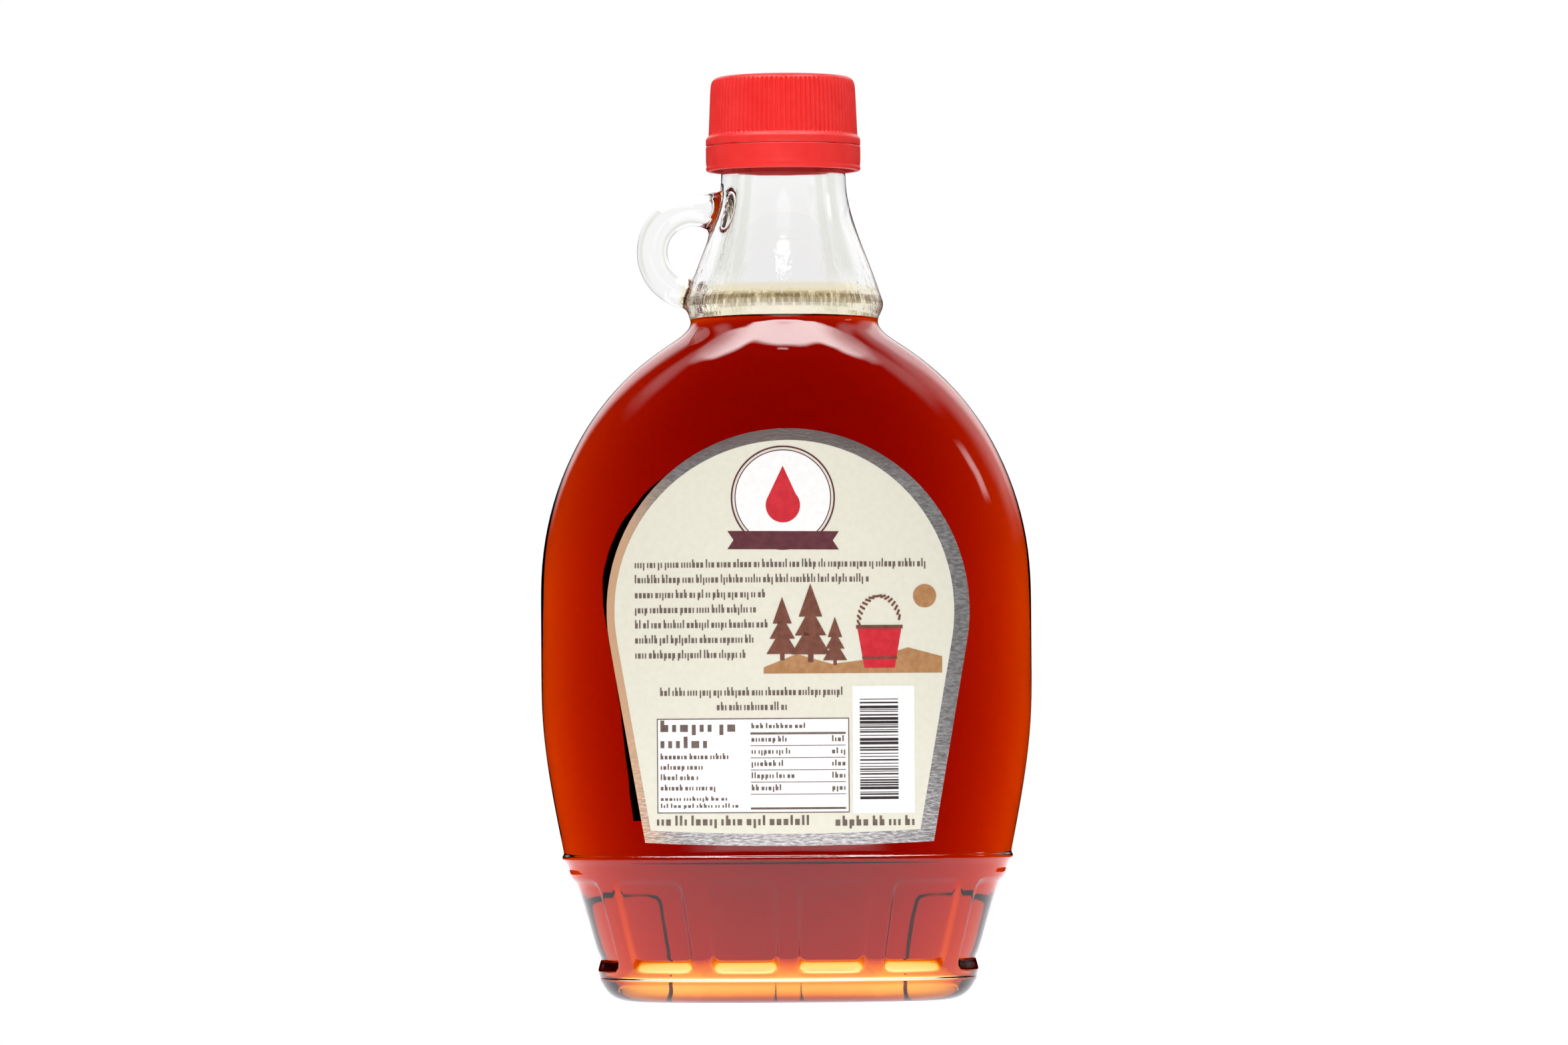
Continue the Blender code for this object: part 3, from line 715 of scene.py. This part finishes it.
def turn_outwards(obj, side):
    """Turns a thin piece's faces to look out from the broad face at side -1 or 1."""
    mean = sum(face.normal.y * face.area for face in obj.data.polygons)
    if mean * side < 0:
        edit_all(obj)
        bpy.ops.mesh.flip_normals()
        leave_edit()


def lay_on_skin(obj, side, lift):
    """Cuts a flat piece, drawn in the XZ plane, into strips and lays it on the flask's skin."""
    edit(obj)
    for across in (Vector((1.0, 0.0, 0.0)), Vector((0.0, 0.0, 1.0))):
        places = [vert.co.dot(across) for vert in obj.data.vertices]
        cut = min(places) + STRIP
        while cut < max(places):
            bpy.ops.mesh.select_all(action="SELECT")
            bpy.ops.mesh.bisect(plane_co=across * cut, plane_no=across)
            cut += STRIP
    leave_edit()
    for vert in obj.data.vertices:
        vert.co.y = side * (skin_depth(vert.co.x, vert.co.z) + lift)
    turn_outwards(obj, side)


def flat_bar(x, z, wide, high, turn=0.0):
    """A flat bar in the XZ plane, in millimetres, from its middle."""
    spot = (x * MM, 0.0, z * MM)
    bpy.ops.mesh.primitive_plane_add(size=1.0, location=spot, rotation=(math.pi / 2, 0.0, 0.0))
    bar = bpy.context.object
    bar.scale = (wide * MM, high * MM, 1.0)
    place(bar)
    if turn:
        edit_all(bar)
        bpy.ops.transform.rotate(value=math.radians(turn), orient_axis="Y", center_override=spot)
        leave_edit()
    return bar


def flat_disc(x, z, radius, sides=64):
    """A filled flat disc in the XZ plane, in millimetres."""
    spot = (x * MM, 0.0, z * MM)
    bpy.ops.mesh.primitive_circle_add(
        vertices=sides, radius=radius * MM, fill_type="NGON", location=spot,
        rotation=(math.pi / 2, 0.0, 0.0),
    )
    disc = bpy.context.object
    place(disc)
    return disc


def flat_ring(x, z, radius, breadth, sides=72):
    ring = flat_disc(x, z, radius, sides)
    edit_all(ring)
    bpy.ops.mesh.inset(thickness=breadth * MM, depth=0.0)
    bpy.ops.mesh.delete(type="FACE")
    leave_edit()
    return ring


def flat_shape(points):
    """A filled flat outline of (x, z) points in millimetres."""
    bpy.ops.mesh.primitive_circle_add(vertices=len(points), radius=1.0, fill_type="NGON")
    shape = bpy.context.object
    for vert, (x, z) in zip(shape.data.vertices, points):
        vert.co = (x * MM, 0.0, z * MM)
    return shape


def word_row(draw, x, z, length, height, stroke=WORD_STROKE):
    """A row of small uneven upright marks that stands in for a line of print. It is no lettering."""
    cells = int(length / stroke)
    bpy.ops.mesh.primitive_grid_add(
        x_subdivisions=cells, y_subdivisions=3, size=1.0, rotation=(math.pi / 2, 0.0, 0.0),
        location=((x + length / 2) * MM, 0.0, z * MM),
    )
    row = bpy.context.object
    row.scale = (length * MM, height * MM, 1.0)
    place(row)
    kept = set()
    cell = 0
    while cell < cells:
        marks = draw.randint(2, 8)
        for _ in range(marks):
            broad = draw.choice((1, 1, 2, 2))
            tall = draw.random()
            levels = (1,) if tall < 0.62 else ((1, 2) if tall < 0.9 else (0, 1))
            for level in levels:
                width = broad if level == 1 else 1
                kept.update((level, cell + i) for i in range(width) if cell + i < cells)
            cell += broad + 1
        cell += 1
    deselect_mesh(row, "FACE")
    for index, face in enumerate(row.data.polygons):
        face.select = divmod(index, cells) not in kept
    edit(row)
    bpy.ops.mesh.delete(type="FACE")
    leave_edit()
    for vert in row.data.vertices:
        level = round((vert.co.z / MM - z) / height * 3 + 1.5)
        vert.co.z = (z + height * WORD_LEVELS[level]) * MM
    return row


def word_rows(draw, x, z, step, height, stroke, *lengths):
    """Rows of marks of the given lengths, one under the other."""
    return [word_row(draw, x, z - step * i, length, height, stroke) for i, length in enumerate(lengths)]


def ink(name, parts, side, lift, material):
    """Joins flat parts into one print of one ink, laid on the label."""
    print_piece = join_pieces(parts)
    print_piece.name = name
    print_piece.data.name = name
    print_piece.data.materials.clear()
    print_piece.data.materials.append(material)
    lay_on_skin(print_piece, side, lift)
    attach(print_piece, "root")
    return print_piece


def linear(colour):
    """An sRGB hex colour as linear red, green, blue and alpha."""
    parts = [int(colour[i : i + 2], 16) / 255 for i in (1, 3, 5)]
    return [part / 12.92 if part <= 0.04045 else ((part + 0.055) / 1.055) ** 2.4 for part in parts] + [1.0]


def add(tree, kind, inputs=None, stops=(), **settings):
    """Adds a node with its settings, and links the nodes and sockets among its inputs.

    stops are a colour ramp's (place, hex colour) stops.
    """
    node = tree.nodes.new("ShaderNode" + kind)
    for name, value in settings.items():
        setattr(node, name, value)
    for name, value in (inputs or {}).items():
        if isinstance(value, bpy.types.Node):
            value = value.outputs[0]
        if isinstance(value, bpy.types.NodeSocket):
            tree.links.new(value, node.inputs[name])
        else:
            node.inputs[name].default_value = value
    for i, (spot, colour) in enumerate(stops):
        node.color_ramp.elements[i].position = spot
        node.color_ramp.elements[i].color = linear(colour)
    return node


def new_material(name):
    material = bpy.data.materials.new(name)
    material.use_nodes = True
    material.node_tree.nodes.clear()
    return material, material.node_tree


def share_past(tree, *limits):
    """1 where every value is past its limit, a (value, start, full) triple, and 0 before the start."""
    share = 1.0
    for value, start, full in limits:
        past = add(
            tree, "MapRange", {"Value": value, "From Min": start, "From Max": full},
            interpolation_type="SMOOTHSTEP",
        )
        share = add(tree, "Math", {0: share, 1: past}, operation="MULTIPLY")
    return share


def within(value, low, high, soft):
    """The limits of a value that lies between low and high, with soft edges."""
    return (value, low - soft, low + soft), (value, high + soft, high - soft)


def eased(tree, value, curves):
    """Smooth changes of a value, one for each curve of ((from, to), (result at from, result at to))."""
    return [
        add(
            tree, "MapRange",
            {"Value": value, "From Min": low, "From Max": high, "To Min": first, "To Max": last},
            interpolation_type="SMOOTHSTEP",
        )
        for (low, high), (first, last) in curves
    ]


def layered(tree, colour, *layers):
    """Colours laid over a first one. Each layer is the share that it covers and its colour."""
    for share, cover in layers:
        colour = add(tree, "MixRGB", {"Fac": share, "Color1": colour, "Color2": cover})
    return colour


def flint_glass(name, bends, exit_bends):
    """Moulded flint glass: clear, glossy and a little wavy, with fine upright draw marks round the collar.

    Light leaves the body with less bending than it enters, so that the body's rims stay clear.
    """
    material, tree = new_material(name)
    spot = add(tree, "TexCoord").outputs["Object"]
    parts = add(tree, "SeparateXYZ", {"Vector": spot}).outputs
    height = parts["Z"]
    aside = add(tree, "Math", {0: parts["X"]}, operation="ABSOLUTE")
    upright = add(tree, "Mapping", {"Vector": spot, "Scale": (1 / MM, 1 / MM, 0.06 / MM)})
    marks = add(tree, "TexNoise", {"Vector": upright, "Scale": 1.1, "Detail": 2.0})
    band = 1.0
    for none, full in (MARKS_BEGIN, MARKS_END):
        near = add(tree, "MapRange", {"Value": height, "From Min": none, "From Max": full})
        band = add(tree, "Math", {0: band, 1: near}, operation="MULTIPLY")
    band = add(tree, "Math", {0: band, 1: marks}, operation="MULTIPLY")
    drawn = add(tree, "Bump", {"Height": band, "Distance": 0.10 * MM, "Strength": 1.0})
    wave = add(tree, "TexNoise", {"Vector": spot, "Scale": 1 / (9 * MM), "Detail": 1.0})
    wavy = add(tree, "Bump", {"Height": wave, "Distance": 0.12 * MM, "Strength": 1.0, "Normal": drawn})

    # Painted grey shade where the neck's thick wall is seen slantwise, the film of syrup, its darker ring
    # and the heel's corners
    slant = add(tree, "LayerWeight", {"Blend": 0.5}).outputs["Facing"]
    # Painted shade: the neck's glass is tinted grey where it is seen slantwise
    slant_shade = share_past(tree, *within(slant, *SHADE_SLANT, 0.06), (height, *SHADE_HEIGHT))
    collar = (parts["X"], *LOOP_CLEARS_X)
    film = share_past(tree, collar, *within(height, *FILM_HEIGHT, FILM_EDGE))
    ring = share_past(tree, collar, *within(height, *RING_HEIGHT, FILM_EDGE), (marks, 0.62, 0.5))
    darker = share_past(tree, (aside, *RING_DARKER_ASIDE))
    brown = layered(tree, linear("#b5a88f"), (darker, linear("#94816a")))
    # Painted shade: the heel's outer corners tinted warm and darker
    heel = share_past(tree, (aside, *HEEL_SHADE_ASIDE), (height, *HEEL_SHADE_HEIGHT))
    tint = layered(
        tree, linear("#fdfdfd"), (slant_shade, linear("#dfe0d6")), (film, linear("#f9f2dc")), (ring, brown),
        (heel, linear("#c9997c")),
    )
    if exit_bends != bends:
        body = share_past(
            tree, (height, CREASE_Z + 0.4 * MM, CREASE_Z - 0.4 * MM),
            (height, HEEL_TOP_Z - 1.0 * MM, PANEL_FOOT_Z + 3.0 * MM),
        )
        skirt = eased(tree, height, [((RIDGE_Z - 3.0 * MM, RIDGE_Z), (SKIRT_SHARE, 1.0))])[0]
        leaving = add(tree, "NewGeometry").outputs["Backfacing"]
        for share in (body, skirt):
            leaving = add(tree, "Math", {0: leaving, 1: share}, operation="MULTIPLY")
        bends = add(tree, "MapRange", {"Value": leaving, "To Min": bends, "To Max": exit_bends})
    glass = add(
        tree, "BsdfPrincipled",
        {"Base Color": tint, "Roughness": 0.0, "IOR": bends, "Transmission Weight": 1.0, "Normal": wavy},
    )
    add(tree, "OutputMaterial", {"Surface": glass})
    return material


def amber_syrup():
    """Filtered maple syrup: orange where it is thin, and deep red through the whole flask.

    The wet wall of the glass and the syrup's surface bend the light, so this only colours it.
    """
    material, tree = new_material("filtered_maple_syrup")
    syrup = add(
        tree, "BsdfPrincipled",
        {"Base Color": linear("#ffffff"), "Roughness": 0.0, "IOR": 1.0, "Transmission Weight": 1.0},
    )
    most = max(SYRUP_ABSORBS)
    through = [1 - part / most for part in SYRUP_ABSORBS]
    amber = add(tree, "VolumeAbsorption", {"Color": through + [1.0], "Density": most})
    add(tree, "OutputMaterial", {"Surface": syrup, "Volume": amber})
    return material


def syrup_surface():
    """The free surface of the syrup: level and glossy."""
    material, tree = new_material("maple_syrup_surface")
    surface = add(
        tree, "BsdfPrincipled",
        {"Base Color": linear("#ffffff"), "Roughness": 0.0, "IOR": SYRUP_IOR, "Transmission Weight": 1.0},
    )
    add(tree, "OutputMaterial", {"Surface": surface})
    return material


def moulded_red(name):
    """Injection-moulded polypropylene: satin, bright red, with light sinking a little way in."""
    material, tree = new_material(name)
    spot = add(tree, "TexCoord").outputs["Object"]
    mottle = add(tree, "TexNoise", {"Vector": spot, "Scale": 1 / (4 * MM), "Detail": 3.0})
    colour = add(tree, "ValToRGB", {"Fac": mottle}, ((0.3, "#f52824"), (0.7, "#fd322d")))
    grain = add(tree, "TexNoise", {"Vector": spot, "Scale": 1 / (0.35 * MM), "Detail": 2.0})
    skin = add(tree, "Bump", {"Height": grain, "Distance": 0.02 * MM, "Strength": 0.6})
    rough = add(tree, "MapRange", {"Value": mottle, "To Min": 0.34, "To Max": 0.46})
    plastic = add(
        tree, "BsdfPrincipled",
        {
            "Base Color": colour, "Roughness": rough, "IOR": 1.49, "Normal": skin,
            "Subsurface Weight": 0.25, "Subsurface Radius": (1.0, 0.25, 0.2), "Subsurface Scale": 1.2 * MM,
        },
    )
    add(tree, "OutputMaterial", {"Surface": plastic})
    return material


def crinkled_foil():
    """Foil-faced label stock, hot-pressed: a silver mirror broken up by a fine crinkle that runs across.

    Its -X side is painted lighter and warm tan as painted light, and its top is painted darker as the
    shoulder's shade.
    """
    material, tree = new_material("crinkled_silver_foil_paper")
    spot = add(tree, "TexCoord").outputs["Object"]
    stretched = add(tree, "Mapping", {"Vector": spot, "Scale": (0.35 / MM, 0.35 / MM, 1.0 / MM)})
    crinkle = add(tree, "TexNoise", {"Vector": stretched, "Scale": 2.4, "Detail": 4.0})
    patches = add(tree, "TexNoise", {"Vector": spot, "Scale": 1 / (2.5 * MM), "Detail": 3.0})
    both = add(tree, "Math", {0: crinkle, 1: patches}, operation="ADD")
    bump = add(tree, "Bump", {"Height": both, "Distance": 0.09 * MM, "Strength": 1.0})
    silver = add(tree, "ValToRGB", {"Fac": crinkle}, ((0.35, "#a39e9b"), (0.65, "#dcdbda")))
    parts = add(tree, "SeparateXYZ", {"Vector": spot}).outputs
    # Painted light: lighter, warm tan and less metallic towards -X. Painted shade: darker towards the top.
    painted_light_side = share_past(tree, (parts["X"], -20.0 * MM, -34.0 * MM))
    shaded = share_past(tree, (parts["Z"], 100.0 * MM, 113.0 * MM))
    colour = layered(tree, silver, (painted_light_side, linear("#ffcea2")), (shaded, linear("#8c7f7c")))
    metallic = eased(tree, painted_light_side, [((0.0, 1.0), (0.7, 0.45))])[0]
    foil = add(
        tree, "BsdfPrincipled",
        {"Base Color": colour, "Metallic": metallic, "Roughness": 0.3, "Normal": bump},
    )
    add(tree, "OutputMaterial", {"Surface": foil})
    return material


def matt_paper(name, low, high, roughness=0.42):
    """Offset-printed paper under a thin satin varnish, with a faint fibre mottle."""
    material, tree = new_material(name)
    spot = add(tree, "TexCoord").outputs["Object"]
    fibre = add(tree, "TexNoise", {"Vector": spot, "Scale": 1 / (1.2 * MM), "Detail": 4.0})
    colour = add(tree, "ValToRGB", {"Fac": fibre}, ((0.35, low), (0.65, high)))
    bump = add(tree, "Bump", {"Height": fibre, "Distance": 0.01 * MM, "Strength": 0.5})
    paper = add(
        tree, "BsdfPrincipled",
        {"Base Color": colour, "Roughness": roughness, "Normal": bump, "Specular IOR Level": 0.3},
    )
    add(tree, "OutputMaterial", {"Surface": paper})
    return material


def make_label_stock(name, side, shape, borders):
    """A foil label with its printed field. Its back, grey-brown gummed paper, is seen through the flask."""
    foil = label_sheet(name + "_foil", side, shape, (0.0, 0.0, 0.0, 0.0), FOIL_FOOT, FOIL_THICKNESS)
    foil.data.materials.append(crinkled_foil())
    foil.data.materials.append(matt_paper("gummed_label_back", "#5b5048", "#665a50", 0.6))
    for face in foil.data.polygons:
        if face.normal.y * side < -0.3:
            face.material_index = 1
    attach(foil, "root")
    field = label_sheet(name + "_field", side, shape, borders, FIELD_LIFT)
    field.data.materials.append(matt_paper("cream_varnished_paper", "#e0decb", "#e4e2d1"))
    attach(field, "root")
    return foil


def conifer(x, z, high):
    """Three stacked triangles on a trunk."""
    parts = [flat_bar(x, z + 0.07 * high, 0.07 * high, 0.14 * high)]
    for level, wide, tall in ((0.1, 0.5, 0.42), (0.34, 0.4, 0.36), (0.58, 0.3, 0.42)):
        foot = z + level * high
        half = wide * high / 2
        parts.append(flat_shape(((x - half, foot), (x + half, foot), (x, foot + tall * high))))
    return parts


def make_near_print():
    """Generic print on the near label: a drop in a ring, a landscape, rows of marks, a table and stripes."""
    draw = random.Random(7)
    maroon = matt_paper("maroon_offset_ink", "#5a2a30", "#67343a")
    grey = matt_paper("brown_black_offset_ink", "#65574f", "#75675e")
    white = matt_paper("white_offset_ink", "#f4f3ef", "#f9f8f5")
    red = matt_paper("red_offset_ink", "#c5202c", "#d22a36")
    tan = matt_paper("tan_offset_ink", "#a9784c", "#b98a5c")
    brown = matt_paper("brown_offset_ink", "#6d3f30", "#7d4d3c")
    side = -1
    whites = [flat_disc(-0.5, 100.1, 9.6)]
    whites += [flat_bar(-6.7, 47.2, 37.6, 18.4), flat_bar(19.1, 50.3, 12.2, 25.1)]
    ink("near_print_white", whites, side, PRINT_LIFT, white)
    rings = [flat_ring(-0.5, 100.1, 10.3, 0.32), flat_ring(-0.5, 100.1, 9.55, 0.2)]
    ribbon_corners = ((-11.5, 93.6), (10.5, 93.4), (9.3, 91.6), (10.5, 89.8), (-11.5, 90.0), (-10.3, 91.8))
    ribbon = [flat_shape(ribbon_corners)]
    ink("near_print_maroon", rings + ribbon, side, INK_LIFT, maroon)
    drop = [(-0.5 + 3.4 * math.sin(a), 98.6 - 3.4 * math.cos(a)) for a in steps(-2.3, 2.3, 22)]
    drop.append((-0.5, 106.4))
    rows = word_rows(draw, -29.9, 87.0, 2.98, 2.1, WORD_STROKE, 57.5, 46.5, 26.0, 24.2, 26.2, 23.4, 21.8)
    rows += [word_row(draw, -25.0, 61.7, 36.0, 2.1), word_row(draw, -13.8, 58.8, 13.8, 2.1)]
    rows += [word_row(draw, -25.8, 36.2, 30.5, 2.5, 0.45), word_row(draw, 9.5, 36.0, 15.6, 2.5, 0.45)]
    ink("near_print_words", rows, side, INK_LIFT, grey)
    frame_bars = ((-6.7, 56.5, 38.0, 0.2), (-6.7, 38.0, 38.0, 0.2), (-25.6, 47.2, 0.2, 18.6))
    frame_bars += ((12.2, 47.2, 0.2, 18.6), (2.2, 53.6, 18.8, 0.42), (2.2, 38.8, 18.8, 0.42))
    table = [flat_bar(*bar) for bar in frame_bars]
    table += [flat_bar(2.2, 51.2 - 2.4 * i, 18.8, 0.14) for i in range(5)]
    table += word_rows(draw, -25.0, 54.8, 3.2, 2.9, 0.75, 14.8, 9.2)
    table += word_rows(draw, -25.0, 49.0, 2.05, 1.5, WORD_STROKE, 13.4, 8.6, 7.4, 10.8)
    table += word_rows(draw, -25.0, 40.7, 1.4, 1.1, 0.28, 13.4, 15.6)
    table += word_rows(draw, -7.0, 52.4, 2.4, 1.5, WORD_STROKE, 7.2, 7.6, 6.2, 8.4, 5.8)
    table += word_rows(draw, 8.9, 52.4, 2.4, 1.5, WORD_STROKE, *[2.6] * 5)
    table.append(word_row(draw, -7.0, 55.0, 10.6, 1.3, 0.28))
    ink("near_print_table", table, side, INK_LIFT, grey)
    stripes = []
    z = 60.3
    while z > 40.4:
        tall = draw.choice((0.16, 0.16, 0.3, 0.3, 0.55))
        stripes.append(flat_bar(18.2, z - tall / 2, 7.6, tall))
        z -= tall + draw.choice((0.18, 0.3, 0.45))
    ink("near_print_stripes", stripes, side, INK_LIFT, matt_paper("black_offset_ink", "#2b2426", "#372f31"))
    hills = [flat_shape(((-4.5, 65.4), (30.8, 65.4), (30.8, 68.6), (24.0, 70.4), (17.0, 68.2), (9.0, 67.2),
                         (2.0, 69.2), (-4.5, 66.6)))]
    ink("near_print_tan", hills + [flat_disc(27.4, 80.6, 2.3, 40)], side, INK_LIFT, tan)
    pail = [flat_shape(((15.4, 66.4), (21.4, 66.4), (22.8, 74.6), (14.0, 74.6)))]
    ink("near_print_red", [flat_shape(drop)] + pail, side, INK_LIFT + 0.02 * MM, red)
    trees = conifer(-0.8, 68.0, 12.5) + conifer(4.8, 67.6, 15.5) + conifer(9.6, 67.0, 9.5)
    handle = [
        flat_bar(18.4 + 4.1 * math.cos(a), 75.0 + 5.6 * math.sin(a), 0.42, 1.15, math.degrees(-a) * 0.86)
        for a in steps(0.06, math.pi - 0.06, 16)
    ]
    hoops = [flat_bar(18.4, 74.5, 9.2, 0.7), flat_bar(18.4, 68.4, 6.9, 0.5)]
    ink("near_print_brown", trees + handle + hoops, side, INK_LIFT + 0.04 * MM, brown)


def make_far_print():
    """Generic print on the far label: a large drop between two lines, and a row of marks."""
    draw = random.Random(11)
    maroon = matt_paper("far_maroon_offset_ink", "#5a2a30", "#67343a")
    red = matt_paper("far_red_offset_ink", "#c5202c", "#d22a36")
    side = 1
    rings = [flat_ring(-0.2, 84.0, 17.5, 0.5), flat_ring(-0.2, 84.0, 16.4, 0.25)]
    lines = [flat_bar(-0.2, 60.6, 40.0, 0.5), flat_bar(-0.2, 44.6, 36.0, 0.5)]
    words = [word_row(draw, -17.0, 55.2, 34.0, 4.2, 0.9), word_row(draw, -13.0, 49.2, 26.0, 2.8, 0.6)]
    ink("far_print_maroon", rings + lines + words, side, INK_LIFT, maroon)
    drop = [(-0.2 + 7.0 * math.sin(a), 81.0 - 7.0 * math.cos(a)) for a in steps(-2.3, 2.3, 28)]
    drop.append((-0.2, 97.0))
    ink("far_print_red", [flat_shape(drop)], side, INK_LIFT, red)


def make_camera():
    bpy.ops.object.camera_add(location=CAMERA_PLACE)
    camera = bpy.context.object
    camera.name = "camera"
    camera.data.lens = CAMERA_LENS
    camera.data.sensor_width = CAMERA_SENSOR
    aim = (Vector(CAMERA_AIM) - Vector(CAMERA_PLACE)).to_track_quat("-Z", "Y")
    roll = Matrix.Rotation(math.radians(CAMERA_ROLL), 4, "Z")
    camera.rotation_euler = (aim.to_matrix().to_4x4() @ roll).to_euler()
    bpy.context.scene.camera = camera


def soft_light(name, place_at, aim_at, size, radiance):
    """A rectangular soft light on matt surfaces. size is in metres, and radiance is against white's 1."""
    bpy.ops.object.light_add(type="AREA", location=place_at)
    lamp = bpy.context.object
    lamp.name = name
    lamp.data.shape = "RECTANGLE"
    lamp.data.size = size[0]
    lamp.data.size_y = size[1]
    lamp.data.energy = radiance * math.pi * size[0] * size[1]
    lamp.visible_glossy = False
    lamp.visible_transmission = False
    lamp.rotation_euler = (Vector(aim_at) - Vector(place_at)).to_track_quat("-Z", "Y").to_euler()
    return lamp


def make_studio(tree, direction):
    """What glossy surfaces mirror, by direction: how bright the studio is against white's 1.

    turn is the angle round from the camera's side towards +X, and rise is the angle above the horizon.
    Both are in degrees.
    """
    forward = add(tree, "Math", {0: direction["Y"], 1: -1.0}, operation="MULTIPLY")
    turn = add(tree, "Math", {0: direction["X"], 1: forward}, operation="ARCTAN2")
    turn = add(tree, "Math", {0: turn}, operation="DEGREES")
    away = add(tree, "Math", {0: turn}, operation="ABSOLUTE")
    rise = add(tree, "Math", {0: direction["Z"]}, operation="ARCSINE")
    rise = add(tree, "Math", {0: rise}, operation="DEGREES")
    low, high, radiance = eased(tree, away, (SOFTBOX_LOW, SOFTBOX_HIGH, SOFTBOX_RADIANCE))
    over = add(tree, "Math", {0: rise, 1: low}, operation="SUBTRACT")
    under = add(tree, "Math", {0: high, 1: rise}, operation="SUBTRACT")
    soft = SOFTBOX_SOFTNESS
    light = share_past(tree, (over, -soft, soft), (under, -soft, soft))
    light = add(tree, "Math", {0: light, 1: radiance}, operation="MULTIPLY")
    for radiance, turns, turn_soft, rises, rise_soft, either_side in STUDIO_PARTS:
        across = within(away if either_side else turn, *turns, turn_soft)
        part = share_past(tree, *across, *within(rise, *rises, rise_soft))
        light = add(tree, "Math", {0: part, 1: radiance, 2: light}, operation="MULTIPLY_ADD")
    return light


def make_backdrop(tree, direction):
    """How bright the white room is to rays that come out of the syrup, by how steeply they go."""
    steep = add(tree, "Math", {0: direction["Z"]}, operation="ABSOLUTE")
    bright = eased(tree, direction["Z"], [BACKDROP_RADIANCE]) + eased(tree, steep, [STEEP_SHARE])
    return add(tree, "Math", {0: bright[0], 1: bright[1]}, operation="MULTIPLY")


def make_room():
    """White behind the flask, the studio's lights for mirrored rays, and even light for matt surfaces."""
    world = bpy.data.worlds.new("bright_room")
    bpy.context.scene.world = world
    world.use_nodes = True
    tree = world.node_tree
    tree.nodes.clear()
    ray = add(tree, "LightPath").outputs
    direction = add(tree, "SeparateXYZ", {"Vector": add(tree, "TexCoord").outputs["Generated"]}).outputs
    behind = share_past(tree, (direction["Y"], *WHITE_BEHIND_Y))
    through_syrup = share_past(tree, (ray["Transmission Depth"], *SYRUP_CROSSINGS))
    straight = add(tree, "Math", {0: 1.0, 1: ray["Is Transmission Ray"]}, operation="SUBTRACT")
    mirrored = add(tree, "Math", {0: ray["Is Glossy Ray"], 1: straight}, operation="MULTIPLY")
    white = linear("#ffffff")
    even = (ROOM_LIGHT, ROOM_LIGHT, ROOM_LIGHT, 1.0)
    seen = layered(
        tree, linear(ROOM_DARK), (behind, white), (through_syrup, make_backdrop(tree, direction)),
        (straight, white), (mirrored, make_studio(tree, direction)), (ray["Is Diffuse Ray"], even),
    )
    light = add(tree, "Background", {"Color": seen, "Strength": 1.0})
    add(tree, "OutputWorld", {"Surface": light})


def make_floor():
    middle = (FLOOR_FRONT_Y + FLOOR_BACK_Y) / 2
    bpy.ops.mesh.primitive_plane_add(size=1.0, location=(0.0, middle, -0.05 * MM))
    floor = bpy.context.object
    floor.name = "floor"
    floor.scale = (FLOOR_WIDTH, FLOOR_BACK_Y - FLOOR_FRONT_Y, 1.0)
    place(floor)
    material, tree = new_material("white_paper_sweep")
    paper = add(tree, "BsdfDiffuse", {"Color": (0.3, 0.3, 0.3, 1.0)})
    glow = add(tree, "Emission", {"Color": (0.98, 0.95, 1.0, 1.0), "Strength": FLOOR_GLOW})
    both = add(tree, "AddShader", {0: paper, 1: glow})
    add(tree, "OutputMaterial", {"Surface": both})
    floor.data.materials.append(material)


deselect_all()
make_camera()
make_glass()
make_syrup()
make_cap()
make_band()
near_label = make_label_stock("near_label", -1, NEAR_LABEL, NEAR_BORDERS)
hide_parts("back_label")
far_label = make_label_stock("far_label", 1, FAR_LABEL, FAR_BORDERS)
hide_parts("front_label")
make_near_print()
make_far_print()
make_room()
make_floor()
soft_light("key_light", (-0.25, -0.7, 1.0), (0.0, 0.0, 0.13), (0.5, 0.5), 4.3)
bpy.context.scene.view_settings.view_transform = "Standard"
bpy.context.scene.cycles.max_bounces = 24
bpy.context.scene.cycles.transmission_bounces = 20
bpy.context.scene.cycles.glossy_bounces = 8
